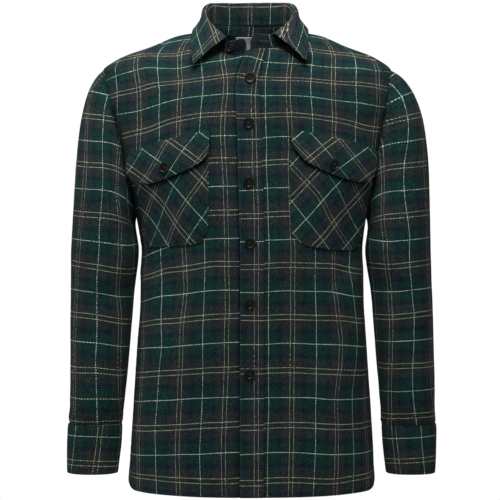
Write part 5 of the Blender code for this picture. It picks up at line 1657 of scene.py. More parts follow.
POCKET_SIDES = {
    -1: dict(top=[(-184, -218), (-65, -182)], bottom=[(-157, -341), (-118, -338), (-78, -334), (-70, -321)],
             left=[(-184, -218), (-178, -250), (-170, -285), (-157, -341)], right=[(-65, -182), (-65, -311), (-70, -321)]),
    1: dict(top=[(62, -182), (195, -214)], bottom=[(72, -325), (85, -337), (125, -343), (164, -347), (172, -334)],
            left=[(62, -182), (63, -316), (72, -325)], right=[(195, -214), (187, -268), (178, -321), (172, -334)]),
}
FLAP_SIDES = {
    -1: dict(top=[(-189, -196), (-169, -187), (-123, -169), (-65, -158)],
             bottom=[(-190, -224), (-180, -237), (-164, -241), (-148, -239), (-117, -227), (-87, -214), (-73, -204)],
             left=[(-189, -196), (-192, -212), (-190, -224)], right=[(-65, -158), (-63, -192), (-73, -204)]),
    1: dict(top=[(64, -158), (83, -159), (128, -168), (162, -176), (184, -185), (196, -191)],
            bottom=[(70, -187), (83, -203), (105, -215), (149, -234), (175, -238), (190, -229)],
            left=[(64, -158), (64, -173), (70, -187)], right=[(196, -191), (197, -214), (190, -229)]),
}


def side_distances(p):
    """Distances from the four edges of a grid, in millimetres: left, right, top and bottom."""
    across, down = arc(p, 1), arc(p, 0)
    return across, across[:, -1:] - across, down, down[-1:] - down


def bias(p, u_lines, v_lines):
    view = to_view(p)
    result = []
    for lines, spacing in ((u_lines, REPEAT_U), (v_lines, REPEAT_V)):
        places, values = gather(free(lines), spacing)
        result.append(Spline(places, values, 0.15)(view))
    return np.stack(result, -1)


overlays = {}
for side in (-1, 1):
    name = SIDES[side]
    tree = tree_of(front[side]["p"])
    xz = patch(**POCKET_SIDES[side], rows=steps(58), columns=steps(56))
    base = onto(tree, xz)
    n = grid_normals(base, away=CHEST)[0]
    left, right, top, low = side_distances(base)
    near = np.minimum(np.minimum(left, right), low)
    lift = 2.1 + 1.3 * smooth(3, 28, near) - 0.35 * bump(near - 2.6, 0.9) + ripple(base, FINE) * 1.5
    lift = lift + puckers(left + low, near - 2.5, 31 + side, 0.22, 9, 6)
    p = base + n * lift[..., None]
    uv = bias(p, RIGHT_POCKET_U if side < 0 else LEFT_POCKET_U, RIGHT_POCKET_V if side < 0 else LEFT_POCKET_V)
    obj = shell(f"cloth_{name}_pocket", p, ONE, uv, FLANNEL, wear_and_painted_shade=0.5 * bump(near, 1.5))
    shown(obj, "flannel", f"{name}_pocket")
    SHEETS.append(obj)
    overlays[f"{name}_pocket"] = (p, grid_normals(p, away=CHEST)[0])

    xz = patch(**FLAP_SIDES[side], rows=steps(36), columns=steps(64))
    base = onto(tree, xz)
    n = grid_normals(base, away=CHEST)[0]
    left, right, top, low = side_distances(base)
    fall = top
    free_edge = np.minimum(np.minimum(left, right), low)
    over_pocket = curve([0, 10, 30, 90], [0.5, 2.8, 5.6, 8.6], fall)
    wave = 1.3 * np.sin(left / 19 + side) * smooth(12, 60, fall) * smooth(26, 0, low)
    lift = 2.1 + over_pocket + wave * 0.7 - 0.4 * bump(free_edge - 5.5, 1.0) - 0.4 * bump(top - 4.5, 1.0)
    lift = lift + puckers(left, free_edge - 5.5, 35 + side, 0.2, 9, 5) + ripple(base, FINE)
    lift = lift - 0.9 * smooth(3.0, 0, free_edge) * smooth(8, 20, fall)
    p = base + n * lift[..., None]
    uv = bias(p, RIGHT_FLAP_U if side < 0 else LEFT_FLAP_U, RIGHT_FLAP_V if side < 0 else LEFT_FLAP_V)
    obj = shell(f"cloth_{name}_flap", p, TWO, uv, FLANNEL, wear_and_painted_shade=bump(free_edge, 1.8))
    shown(obj, "flannel", f"{name}_flap")
    SHEETS.append(obj)
    overlays[f"{name}_flap"] = (p, grid_normals(p, away=CHEST)[0])


# ---------------------------------------------------------------- sleeves and cuffs
AROUND, CAP_ROWS, ARM_ROWS = steps(144), steps(40), steps(86)
sleeves, cuffs = {}, {}
for side in (-1, 1):
    name = SIDES[side]
    base = sleeve_points(side, AROUND, CAP_ROWS, ARM_ROWS)
    base[-2] = base[-1] * 0.6 + base[-2] * 0.4  # a short last row, so that only the edge turns in
    away = (side * 236, 0, -350)
    n, flipped = grid_normals(base, True, away)
    turn = np.linspace(0, 360, AROUND + 1)[:-1][None] + np.zeros((len(base), 1))
    down = arc(base, 0)
    up = down[-1:] - down
    ring = np.linalg.norm(np.roll(base, -1, 1) - base, axis=-1)
    around = np.concatenate([np.zeros((len(base), 1)), np.cumsum(ring, axis=1)], 1)
    facing = smooth(0.0, 0.45, -n[..., 1])
    d = creases(to_view(base), SLEEVE_CREASES, MM_PER_PIXEL) * facing
    behind = np.stack([turn * 1.1, base[..., 2]], -1)
    table = [(a * 1.1, b, c * 1.1, e, f * 1.1, g, w, h) for a, b, c, e, f, g, w, h in SLEEVE_BACK_CREASES]
    d += creases(behind, table) * (1 - facing)
    d += 1.25 * ripple(base, BROAD) + ripple(base, FINE)
    d *= smooth(0, 12, down)
    d += puckers(around[:, :-1], down, 41 + side, 0.35, 11, 10) * smooth(0, 4, down)
    # gathered into the cuff, and tucked under its top edge
    gather_wave = puckers(around[:, :-1] * 1.0, np.zeros_like(up), 43 + side, 1.0, 17, 1)
    d += gather_wave * 0.85 * smooth(42, 3, up) * smooth(0, 3, up)
    d += 0.7 * smooth(26, 7, up) * smooth(0, 6, up)
    d -= 0.45 * smooth(2.5, 0, up)
    p = base + n * d[..., None]
    p[-1, :, 2] -= 1.6
    # The check: round the sleeve from its front, and up from the cuff
    middle = int(AROUND * 0.25)
    # turn 0 is the inner line and 90 the front, so the count rises towards the outside
    u0 = side * (around - around[:, middle:middle + 1])
    v0 = np.mean(up, axis=1, keepdims=True) * 0.35 + up * 0.65
    u_lines, v_lines = ((RIGHT_SLEEVE_U, RIGHT_SLEEVE_V), (LEFT_SLEEVE_U, LEFT_SLEEVE_V))[side > 0]
    u = fitted(base, u0[:, :-1], upright(u_lines), REPEAT_U, n, 0.05)
    v = fitted(base, v0, level(v_lines), REPEAT_V, n, 0.05)
    u = np.concatenate([u, (u[:, :1] - u0[:, :1] + u0[:, -1:])], 1)
    v = np.concatenate([v, v[:, :1]], 1)
    obj = shell(f"cloth_{name}_sleeve", p, ONE, np.stack([u, v], -1), FLANNEL, closed=True, away=away)
    shown(obj, "flannel", f"{name}_sleeve")
    SHEETS.append(obj)
    sleeves[side] = dict(p=p, n=grid_normals(p, True, away)[0], base=base, up=up)

    # the cuff goes round once and laps over itself behind
    count = steps(156)
    part = np.linspace(0, 26 / 24, count + 1)
    turns = math.radians(232) + part * 2 * math.pi
    out = -0.6 + CUFF_OVERLAP * np.clip(part, 0, 1)
    rings = []
    for z in np.linspace(CUFF_TOP + 0.4, CUFF_BOTTOM, steps(27)):
        one = sleeve_ring(side, z, 0, turns=turns)
        centre = sleeve_ring(side, z, 0, turns=[0, math.pi]).mean(axis=0)
        outwards = one - centre
        outwards[:, 2] = 0
        rings.append(one + unit(outwards) * out[:, None])
    base = np.array(rings)
    middle_of = (side * 250, -14, -667)
    n = grid_normals(base, away=middle_of)[0]
    left, right, top, low = side_distances(base)
    near = np.minimum(np.minimum(left, right), np.minimum(top, low))
    edge = np.minimum(top, low)
    d = 0.5 * ripple(base, BROAD) + ripple(base, FINE) * 1.4
    d -= 0.4 * bump(near - 3.2, 1.0) + 0.4 * smooth(2.2, 0, edge)
    d += puckers(left, edge - 3.2, 51 + side, 0.3, 10, 7)
    d += creases(to_view(base), [
        (76, 446, 92, 450, 114, 446, 6, -0.9), (80, 458, 96, 462, 112, 457, 6, 0.7),
        (392, 446, 408, 450, 428, 445, 6, -0.9), (394, 458, 410, 462, 428, 457, 6, 0.7)], MM_PER_PIXEL)
    p = base + n * d[..., None]
    front_column = int(np.argmin(np.abs(np.degrees(turns) - 450)))
    u0 = (left - left[:, front_column:front_column + 1]) * side
    u_lines, v_lines = ((RIGHT_CUFF_U, RIGHT_CUFF_V), (LEFT_CUFF_U, LEFT_CUFF_V))[side > 0]
    u = fitted(base, u0, upright(u_lines), REPEAT_U, n, 0.3)
    v = fitted(base, low, level(v_lines), REPEAT_V, n, 0.3)
    obj = shell(f"cloth_{name}_cuff", p, TWO, np.stack([u, v], -1), FLANNEL, away=middle_of,
                wear_and_painted_shade=bump(low, 2.0) + 0.5 * bump(top, 1.5))
    shown(obj, "flannel", f"{name}_cuff")
    SHEETS.append(obj)
    cuffs[side] = dict(p=p, n=grid_normals(p, away=middle_of)[0], left=left)

    # the strip on the slit above the cuff, behind
    grid = sleeves[side]["p"]
    heights = np.linspace(CAP_ROWS + ARM_ROWS * 0.43, CAP_ROWS + ARM_ROWS - 2.2, steps(60))
    columns = np.linspace(12 / 18, 13 / 18, steps(14)) * AROUND
    r, c = np.meshgrid(heights, columns, indexing="ij")
    base = at_grid(grid, r, c)
    n = unit(at_grid(sleeves[side]["n"], r, c))
    left, right, top, low = side_distances(base)
    near = np.minimum(np.minimum(left, right), top)
    lift = 1.9 - 0.3 * bump(near - 2.5, 0.8) - 0.4 * smooth(1.5, 0, near)
    p = base + n * lift[..., None]
    uv = np.stack([left + 24.0, low + 10.0], -1)
    obj = shell(f"cloth_{name}_sleeve_placket", p, ONE, uv, FLANNEL, away=away, wear_and_painted_shade=0.6 * bump(near, 1.5))
    shown(obj, "flannel", f"{name}_sleeve_placket")
    SHEETS.append(obj)
    overlays[f"{name}_sleeve_placket"] = (p, grid_normals(p, away=away)[0])


# ---------------------------------------------------------------- collar
STAND_COLUMNS, STAND_ROWS = steps(300), steps(14)
base = stand_points(STAND_COLUMNS, STAND_ROWS)
n = grid_normals(base, away=(0, -10, 0))[0]
across, up = arc(base, 1), arc(base, 0)
middle = across[:, -1:] / 2
low, high = up, up[-1:] - up
ends = np.minimum(across, across[:, -1:] - across)
d = 0.25 * ripple(base, BROAD) + ripple(base, FINE) - 0.3 * bump(ends - 3, 0.9) * smooth(0, 3, high)
p = base + n * d[..., None]
u = (across - middle) + REPEAT_U / 2
v = up + 12.0
stand = dict(p=p, n=n)
obj = shell("cloth_collar_stand", p, TWO, np.stack([u, v], -1), FLANNEL, away=(0, -10, 0),
            wear_and_painted_shade=0.8 * bump(high, 1.5) + 0.6 * bump(ends, 2))
shown(obj, "flannel", "collar_stand")
SHEETS.append(obj)


def finer(grid, times):
    """More columns, on a smooth curve through the ones there are."""
    for _ in range(2):
        mid = grid[:, 1:-1] * 0.5 + (grid[:, :-2] + grid[:, 2:]) * 0.25
        grid = np.concatenate([grid[:, :1], mid, grid[:, -1:]], 1)
    columns = grid.shape[1]
    padded_grid = np.concatenate([2 * grid[:, :1] - grid[:, 1:2], grid, 2 * grid[:, -1:] - grid[:, -2:-1]], 1)
    result = []
    for i in range(columns - 1):
        a, b, c, e = (padded_grid[:, i + k] for k in range(4))
        for k in range(times):
            t = k / times
            result.append(0.5 * (2 * b + (c - a) * t + (2 * a - 5 * b + 4 * c - e) * t**2
                                 + (3 * b - a - 3 * c + e) * t**3))
    result.append(grid[:, -1])
    return np.stack(result, 1)


base = finer(leaf_points(41, steps(44)), 6)
n = grid_normals(base)[0]
crown = np.unravel_index(np.argmax(base[..., 2]), base.shape[:2])
if n[crown][2] < 0:
    n = -n
across, up = arc(base, 1), arc(base, 0)
stops = np.linspace(-1, 1, base.shape[1])[None] + np.zeros((base.shape[0], 1))
free_edge = up[-1:] - up
front_edge = np.minimum(across, across[:, -1:] - across)
outside = smooth(0.42, 0.6, np.linspace(0, 1, len(base))[:, None])
wave = 0.8 * np.sin(across / 27 + 1.0) * smooth(30, 0, free_edge) * outside
d = 0.3 * ripple(base, BROAD) + ripple(base, FINE) + wave
d -= 0.4 * (bump(free_edge - 6, 1.0) + bump(front_edge - 6, 1.0)) * outside
d += puckers(across, free_edge - 6, 61, 0.2, 9, 5) + puckers(up, front_edge - 6, 62, 0.2, 9, 5)
p = base + n * d[..., None]
u0 = stops * 3.0 * REPEAT_U * 0.985
v0 = up - up[:, up.shape[1] // 2][len(base) // 2] + 5.0 + REPEAT_V / 2
half = base.shape[1] // 2
u, v = u0.copy(), v0.copy()
for side in (-1, 1):
    part = slice(0, half + 1) if side < 0 else slice(half, None)
    u_lines, v_lines = ((LEAF_RIGHT_U, LEAF_RIGHT_V), (LEAF_LEFT_U, LEAF_LEFT_V))[side > 0]
    u_lines = [(number * side, points) for number, points in free(u_lines)]
    weight = smooth(0.30, 0.60, np.abs(stops[:, part]))
    for field, start, lines, spacing in ((u, u0, u_lines, REPEAT_U), (v, v0, free(v_lines), REPEAT_V)):
        moved = fitted(base[:, part], start[:, part], lines, spacing, n[:, part], 0.3)
        field[:, part] = start[:, part] * (1 - weight) + moved * weight
u = u + REPEAT_U / 2
leaf = dict(p=p, n=n)
obj = shell("cloth_collar", p, TWO, np.stack([u, v], -1), FLANNEL, normals=n,
            flipped=bool((grid_normals(base)[0][crown] * n[crown]).sum() < 0),
            wear_and_painted_shade=bump(free_edge, 2) + bump(front_edge, 2) + 0.35 * bump(stops * 0 + np.abs(
                np.linspace(0, 1, len(base))[:, None] - 0.5), 0.05))
shown(obj, "flannel", "collar")
SHEETS.append(obj)

# The blank label, sewn inside the back below the stand
left_x, right_x, bottom_z, top_z = NECK_LABEL
xs, zs = np.meshgrid(np.linspace(left_x, right_x, steps(30)), np.linspace(top_z, bottom_z, steps(22)))
base = onto(tree_of(back["p"]), np.stack([xs, zs], -1), from_y=0.0) + np.array([0, -0.8, 2.0])
n = grid_normals(base, away=(0, 400, -30))[0]
left, right, top, low = side_distances(base)
p = base + n * (ONE + 1.5 + 1.1 * smooth(6, 30, top) + 0.35 * np.sin(left / 9) * smooth(4, 26, top))[..., None]
obj = shell("tape_neck_label", p, 0.6, np.stack([left, low], -1), LABEL_TAPE, away=(0, 400, -30))
shown(obj, "label", "neck_label")
SHEETS.append(obj)
label = dict(p=p, n=n)


# ---------------------------------------------------------------- buttons
def button_mesh(name, diameter, thick, hole, apart):
    """A turned button with a raised rim, a dished middle and four holes."""
    r = diameter / 2
    profile = [(0, 0), (r - 1.3, 0), (r - 0.45, 0.35), (r, 1.2), (r - 0.12, 2.1), (r - 0.6, thick - 0.1),
               (r - 1.15, thick), (r - 1.75, thick - 0.22), (r - 2.2, thick - 0.75), (r - 2.7, thick - 1.05),
               (r * 0.45, thick - 1.2), (0, thick - 1.25)]
    profile = [profile[0], *[tuple(q) for q in chaikin(np.array(profile[1:-1]), 1)], profile[-1]]
    bm = bmesh.new()
    around = 48
    rings = []
    for radius, z in profile[1:-1]:
        rings.append([bm.verts.new((radius * math.cos(2 * math.pi * k / around) * MM,
                                    radius * math.sin(2 * math.pi * k / around) * MM, z * MM)) for k in range(around)])
    for a, b in zip(rings[:-1], rings[1:], strict=True):
        for k in range(around):
            bm.faces.new((a[k], a[(k + 1) % around], b[(k + 1) % around], b[k]))
    bm.faces.new(rings[0][::-1])
    bm.faces.new(rings[-1])
    mesh = bpy.data.meshes.new(name)
    bm.to_mesh(mesh)
    bm.free()
    body = bpy.data.objects.new(name, mesh)
    bpy.context.scene.collection.objects.link(body)
    bm = bmesh.new()
    for sx in (-1, 1):
        for sy in (-1, 1):
            bmesh.ops.create_cone(bm, cap_ends=True, segments=14, radius1=hole / 2 * MM, radius2=hole / 2 * 1.25 * MM,
                                  depth=thick * 2 * MM,
                                  matrix=Matrix.Translation((sx * apart * MM, sy * apart * MM, thick * 0.5 * MM)))
    cut = bpy.data.meshes.new(name + "_holes")
    bm.to_mesh(cut)
    bm.free()
    cutter = bpy.data.objects.new(name + "_holes", cut)
    bpy.context.scene.collection.objects.link(cutter)
    boolean = body.modifiers.new("holes", "BOOLEAN")
    boolean.operation, boolean.object, boolean.solver = "DIFFERENCE", cutter, "EXACT"
    graph = bpy.context.evaluated_depsgraph_get()
    done = bpy.data.meshes.new_from_object(body.evaluated_get(graph))
    done.name = name
    bpy.data.objects.remove(body, do_unlink=True)
    bpy.data.objects.remove(cutter, do_unlink=True)
    bm = bmesh.new()
    bm.from_mesh(done)
    bmesh.ops.triangulate(bm, faces=[f for f in bm.faces if len(f.verts) > 4])
    for face in bm.faces:
        face.smooth = True
    for edge in bm.edges:
        if len(edge.link_faces) == 2 and edge.calc_face_angle(0) > math.radians(48):
            edge.smooth = False
    bm.to_mesh(done)
    bm.free()
    done.materials.clear()
    done.materials.append(RESIN)
    return done


BIG = button_mesh("button_17", BUTTON_DIA, BUTTON_THICK, 2.3, 1.95)
SMALL = button_mesh("button_13", SMALL_BUTTON_DIA, 2.8, 1.9, 1.55)
sewing = []


def sew_button(name, node, at, normal, mesh, thick, apart, spin):
    normal = unit(np.asarray(normal, float))
    turn = Vector(normal).to_track_quat("Z", "Y")
    turn = turn @ Quaternion((0, 0, 1), spin)
    obj = bpy.data.objects.new(name, mesh)
    bpy.context.scene.collection.objects.link(obj)
    obj.rotation_mode = "QUATERNION"
    obj.rotation_quaternion = turn
    obj.location = Vector(at) * MM
    ALL.append(obj)
    shown(obj, "button", node)
    # thread across the holes, and the shank of thread below
    for sx, sy, ex, ey in ((-1, -1, 1, 1), (-1, 1, 1, -1)):
        line = []
        for t in np.linspace(0, 1, 9):
            x, y = (sx + (ex - sx) * t) * apart, (sy + (ey - sy) * t) * apart
            line.append((x, y, thick - 1.45 + 0.75 * math.sin(math.pi * t) ** 0.5 + (0.18 if sy > 0 else 0)))
        line = [(line[0][0], line[0][1], thick - 2.3), *line, (line[-1][0], line[-1][1], thick - 2.3)]
        sewing.append(np.array([at + np.array(turn @ Vector(q)) for q in line]))
    return obj


def tubes(name, lines, radius, material, ring=6):
    verts, faces = [], []
    start = 0
    for line in lines:
        way = unit(np.gradient(line, axis=0))
        a = unit(np.cross(way, np.array([0.21, 0.37, 0.9])))
        b = np.cross(way, a)
        for k in range(ring):
            t = 2 * math.pi * k / ring
            verts.append(line + radius * (math.cos(t) * a + math.sin(t) * b))
        count = len(line)
        for k in range(ring):
            k2 = (k + 1) % ring
            for i in range(count - 1):
                faces.append([start + k * count + i, start + k2 * count + i, start + k2 * count + i + 1,
                              start + k * count + i + 1])
        faces.append([start + k * count for k in range(ring)][::-1])
        faces.append([start + k * count + count - 1 for k in range(ring)])
        start += ring * count
    return new_mesh(name, np.concatenate(verts), faces, material)


placket_tree = tree_of(placket["p"])
for i, (x, z) in enumerate(FRONT_BUTTONS):
    at = onto(placket_tree, np.array([[x, z]]))[0]
    hit = placket_tree.ray_cast(Vector((x, -400, z)), Vector((0, 1, 0)))
    normal = np.array(hit[1]) * (-1 if hit[1].y > 0 else 1)
    normal = unit(normal + [(-0.02, 0.03, 0.01, -0.03, 0.02, 0.0)[i], 0, (0.03, -0.02, 0.02, 0.04, -0.01, 0.02)[i]])
    sew_button(f"sewn_button_front_{i + 1}", f"button_front_{i + 1}", at + normal * 0.35, normal, BIG, BUTTON_THICK,
               1.75, (0.15, 0.5, -0.2, 0.35, 0.05, -0.4)[i])
for side in (-1, 1):
    name = SIDES[side]
    tree = tree_of(overlays[f"{name}_flap"][0])
    x, z = FLAP_BUTTON[side]
    hit = tree.ray_cast(Vector((x, -400, z)), Vector((0, 1, 0)))
    normal = np.array(hit[1]) * (-1 if hit[1].y > 0 else 1)
    sew_button(f"sewn_button_{name}_flap", f"button_{name}_flap", np.array(hit[0]) + normal * 0.3, normal, BIG,
               BUTTON_THICK, 1.75, 0.3 * side)
    cuff = cuff_points(side, 24, 2)
    at = (cuff[1, -2] + cuff[1, -3]) / 2
    normal = np.cross(cuff[1, -2] - cuff[1, -3], cuff[2, -2] - cuff[1, -2])
    normal = unit(normal * np.sign(normal @ (at - np.array([side * 250, -14, at[2]]))))
    sew_button(f"sewn_button_{name}_cuff", f"button_{name}_cuff", at + normal * 1.5, normal, SMALL, 2.8, 1.4, 0.2)
row = stand["p"][len(stand["p"]) // 2]
j = 1 + int(np.argmin(np.abs(row[1:-1, 0] - COLLAR_BUTTON) + 1e3 * (row[1:-1, 1] > 0)))
normal = stand["n"][len(stand["p"]) // 2, j]
normal = normal * (-1 if normal[1] > 0 else 1)
sew_button("sewn_button_collar", "button_collar", row[j] + normal * 0.4, normal, SMALL, 2.8, 1.4, 0.5)
obj = tubes("button_threads", sewing, 0.33, BUTTON_THREAD)
shown(obj, "button")


# ---------------------------------------------------------------- topstitching and buttonholes
def along_edge(p, n, distance, which, inset=0):
    """A line on a grid at a distance from one edge, with the normals there."""
    rows, columns = p.shape[:2]
    if which in ("left", "right"):
        s = arc(p, 1)
        s = s if which == "left" else s[:, -1:] - s
        places = []
        for i in range(rows):
            order = s[i] if which == "left" else s[i][::-1]
            c = np.interp(distance, order, np.arange(columns))
            places.append((i, c if which == "left" else columns - 1 - c))
    else:
        s = arc(p, 0)
        s = s if which == "top" else s[-1:] - s
        places = []
        for j in range(columns):
            order = s[:, j] if which == "top" else s[::-1, j]
            r = np.interp(distance, order, np.arange(rows))
            places.append((r if which == "top" else rows - 1 - r, j))
    places = np.array(places, float)
    if inset:
        places = places[inset:-inset]
    return at_grid(p, places[:, 0], places[:, 1]), unit(at_grid(n, places[:, 0], places[:, 1]))


def trim_line(line, start, end):
    """Cuts this many millimetres off the ends of a line with its normals."""
    p, n = line
    s = np.concatenate([[0], np.cumsum(np.linalg.norm(np.diff(p, axis=0), axis=1))])
    keep = (s >= start) & (s <= s[-1] - end)
    return p[keep], n[keep]


for side in (-1, 1):
    f = front[side]
    stitch_line(*along_edge(f["p"], f["n"], 9.0, "top"))  # the hem: its first row is the lowest
    seam = along_edge(f["p"], f["n"], 7.0, "right")
    stitch_line(*seam)
    for name, distances, sides in ((f"{SIDES[side]}_pocket", (2.6,), ("left", "right", "bottom")),
                                   (f"{SIDES[side]}_flap", (5.5,), ("left", "right", "bottom")),
                                   (f"{SIDES[side]}_flap", (4.5,), ("top",)),
                                   (f"{SIDES[side]}_sleeve_placket", (2.5,), ("left", "right", "top"))):
        p, n = overlays[name]
        for distance in distances:
            for which in sides:
                line = along_edge(p, n, distance, which)
                stitch_line(*trim_line(line, distance, distance))
    c = cuffs[side]
    for which in ("top", "bottom", "left", "right"):
        stitch_line(*trim_line(along_edge(c["p"], c["n"], 3.2, which), 3.2, 3.2))
stitch_line(*along_edge(back["p"], back["n"], 9.0, "top"))
for which in ("left", "right"):
    stitch_line(*along_edge(back["p"], back["n"], 7.0, which))
for which, distance in (("left", 5.5), ("right", 5.0)):
    stitch_line(*along_edge(placket["p"], placket["n"], distance, which))
for which in ("bottom", "left", "right"):
    line = along_edge(leaf["p"], leaf["n"], 6.0, which)
    if which == "bottom":
        line = trim_line(line, 6, 6)
    else:
        rows = len(line[0])
        line = line[0][int(rows * 0.52):], line[1][int(rows * 0.52):]
        line = trim_line(line, 0, 6)
    stitch_line(*line)
for which, distance in (("top", 2.4), ("left", 3.0), ("right", 3.0)):
    stitch_line(*trim_line(along_edge(stand["p"], stand["n"], distance, which), 2, 2))
stitch_line(*trim_line(along_edge(label["p"], label["n"], 1.6, "top"), 1, 1), pitch=2.4, length=1.8)
for line in (along_edge(label["p"], label["n"], 1.6, "left"), along_edge(label["p"], label["n"], 1.6, "right")):
    stitch_line(line[0][:5], line[1][:5], pitch=2.4, length=1.8)


def buttonhole(at, normal, way, length, width=2.2):
    """Satin stitches all round a slit."""
    way = unit(way - normal * (way @ normal))
    side = np.cross(normal, way)
    for edge in (-1, 1):
        for s in np.arange(-length / 2, length / 2, 0.55):
            STITCHES.append((at + way * s + side * edge * width * 0.36, side, normal, width * 0.62, 0.62))
    for end in (-1, 1):
        for k in range(-2, 3):
            STITCHES.append((at + way * end * (length / 2 + 0.4) + side * k * 0.45, way, normal, 1.5, 0.6))


for i, (x, z) in enumerate(FRONT_BUTTONS):
    hit = placket_tree.ray_cast(Vector((x, -400, z)), Vector((0, 1, 0)))
    normal = unit(np.array(hit[1]) * (-1 if hit[1].y > 0 else 1))
    buttonhole(np.array(hit[0]) + np.array([0, 0, -1.5]), normal, np.array([0.0, 0, 1]), 21)
for side in (-1, 1):
    tree = tree_of(overlays[f"{SIDES[side]}_flap"][0])
    x, z = FLAP_BUTTON[side]
    hit = tree.ray_cast(Vector((x, -400, z)), Vector((0, 1, 0)))
    normal = unit(np.array(hit[1]) * (-1 if hit[1].y > 0 else 1))
    buttonhole(np.array(hit[0]), normal, np.array([0.25 * side, 0, 1]), 20)
    cuff = cuff_points(side, 24, 2)
    at = (cuff[1, -2] + cuff[1, -3]) / 2
    normal = np.cross(cuff[1, -2] - cuff[1, -3], cuff[2, -2] - cuff[1, -2])
    normal = unit(normal * np.sign(normal @ (at - np.array([side * 250, -14, at[2]]))))
    buttonhole(at + normal * 1.25, normal, unit(cuff[1, -2] - cuff[1, -3]), 16)
row, rown = stand["p"][len(stand["p"]) // 2], stand["n"][len(stand["p"]) // 2]
k = 12
buttonhole(row[-k], rown[-k], unit(row[-k + 1] - row[-k]), 14)
obj = build_stitches("topstitching", STITCHES, THREAD)
shown(obj, "flannel")


# ---------------------------------------------------------------- painted shade at edges, seams, folds and under flaps and collar
def sink(name, lines, reach, depth, fade=0.0):
    """Paints shade on the cloth of a piece that lies this near, seen from the front, to lines of x and z: a mark below
    zero in its wear attribute, which the flannel draws nearly black.
    """
    mesh = bpy.data.objects[name].data
    count = len(mesh.vertices)
    places = np.zeros(count * 3)
    mesh.vertices.foreach_get("co", places)
    places = places.reshape(-1, 3)[:, [0, 2]] / MM
    wear_and_shade_values = np.zeros(count)
    mesh.attributes["wear_and_painted_shade"].data.foreach_get("value", wear_and_shade_values)
    for line in lines:
        line = np.asarray(line, float)
        line = resample(line[:, [0, 2]] if line.shape[1] == 3 else line, 160)
        apart = np.full(count, 1e9)
        for point in line:
            apart = np.minimum(apart, np.hypot(*(places - point).T))
        wear_and_shade_values = np.where(apart < reach, np.minimum(wear_and_shade_values, -depth * smooth(reach, fade, apart)), wear_and_shade_values)
    mesh.attributes["wear_and_painted_shade"].data.foreach_set("value", wear_and_shade_values)


for side in (-1, 1):
    name = SIDES[side]
    flap = FLAP_SIDES[side]
    under, inner = chaikin(flap["bottom"]), chaikin(flap["right" if side < 0 else "left"])
    # painted shade under each flap, round each pocket, along the side seams and armholes, and under the collar's leaf
    sink(f"cloth_{name}_pocket", [under], 6.5, 0.95, 1.0)
    sink(f"cloth_{name}_front", [under, inner], 5.0, 0.8, 1.0)
    outline = overlays[f"{name}_pocket"][0]
    sink(f"cloth_{name}_front", [outline[:, 0], outline[:, -1], outline[-1]], 3.2, 0.5)
    sink(f"cloth_{name}_front", [front[side]["p"][:, -1]], 4.0, 0.5)
    sink(f"cloth_{name}_sleeve", [front[side]["p"][len(HEIGHTS) // 3:, -1]], 3.5, 0.45)
    # painted shade in the deep fold where the sleeve hangs against the body, deeper at the wearer's right
    fold = front[side]["p"][:, -1]
    fold = fold[(fold[:, 2] > -350) & (fold[:, 2] < -125)]
    sink(f"cloth_{name}_front", [fold], 9.0 if side < 0 else 6.5, 0.9 if side < 0 else 0.75, 1.5)
    sink(f"cloth_{name}_sleeve", [fold], 7.0 if side < 0 else 5.0, 0.85 if side < 0 else 0.7, 1.5)
    edge = leaf["p"][len(leaf["p"]) // 2:, 0 if leaf["p"][-1, 0, 0] * side > 0 else -1]
    sink(f"cloth_{name}_front", [edge], 12.0, 0.75, 2.0)
    sink("cloth_collar_stand", [edge], 13.0, 0.8, 3.0)
# painted shade under the collar: on the stand's ends, the front below them and the placket, and beside the placket's
# edges
tabs = stand["p"][len(stand["p"]) // 2]
tabs = tabs[tabs[:, 1] < tabs[:, 1].min() + 45]
sink("cloth_collar_stand", [tabs[tabs[:, 0] < -6]], 16.0, 0.84, 5.0)
sink("cloth_collar_stand", [tabs[tabs[:, 0] > 6]], 14.0, 0.35, 5.0)
sink("cloth_right_front", [tabs[tabs[:, 0] < -6]], 17.0, 0.8, 6.0)
sink("cloth_placket", [leaf["p"][len(leaf["p"]) // 2:, k] for k in (0, -1)], 8.0, 0.5)
sink("cloth_right_front", [placket["p"][:, 0]], 4.6, 0.95, 1.2)
sink("cloth_left_front", [placket["p"][:, -1]], 3.6, 0.62)
sink("cloth_placket", [placket["p"][:, -1]], 2.6, 0.55)


# ---------------------------------------------------------------- each piece on the root body, the parts it stands for hidden, and the cloth's surface beside its cut size
for obj, nodes, slot in NODES:
    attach(obj, "root")
    if nodes:
        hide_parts(*nodes)

CUT = {
    "cloth_right_front": ((0.30, 0.72), 0.185, "hung"), "cloth_left_front": ((0.28, 0.72), 0.165, "hung"),
    "cloth_back": ((0.52, 0.72), 0.330, "hung"), "cloth_placket": ((0.037, 0.72), None, "hung"),
    "cloth_right_sleeve": ((0.44, 0.60), 0.170, "hung"), "cloth_left_sleeve": ((0.44, 0.60), 0.170, "hung"),
    "cloth_right_cuff": ((0.27, 0.078), None, "hung"), "cloth_left_cuff": ((0.27, 0.078), None, "hung"),
    "cloth_right_sleeve_placket": ((0.022, 0.17), None, "laid"),
    "cloth_left_sleeve_placket": ((0.022, 0.17), None, "laid"),
    "cloth_collar_stand": ((0.42, 0.024), 0.0075, "folded"), "cloth_collar": ((0.46, 0.09), 0.035, "folded"),
    "cloth_right_pocket": ((0.13, 0.16), 0.0170, "laid"), "cloth_left_pocket": ((0.14, 0.17), 0.0210, "laid"),
    "cloth_right_flap": ((0.13, 0.085), 0.0080, "laid"), "cloth_left_flap": ((0.14, 0.08), 0.0082, "laid"),
    "tape_neck_label": ((0.046, 0.033), None, "laid"),
}


def half_surface(obj):
    mesh = obj.data
    mesh.calc_loop_triangles()
    areas = np.zeros(len(mesh.loop_triangles))
    mesh.loop_triangles.foreach_get("area", areas)
    return areas.sum() / 2


for obj in SHEETS:
    flat, area, held = CUT[obj.name]
    print("sheet", obj.name, "half surface", round(half_surface(obj), 5), "flat", area or flat[0] * flat[1])


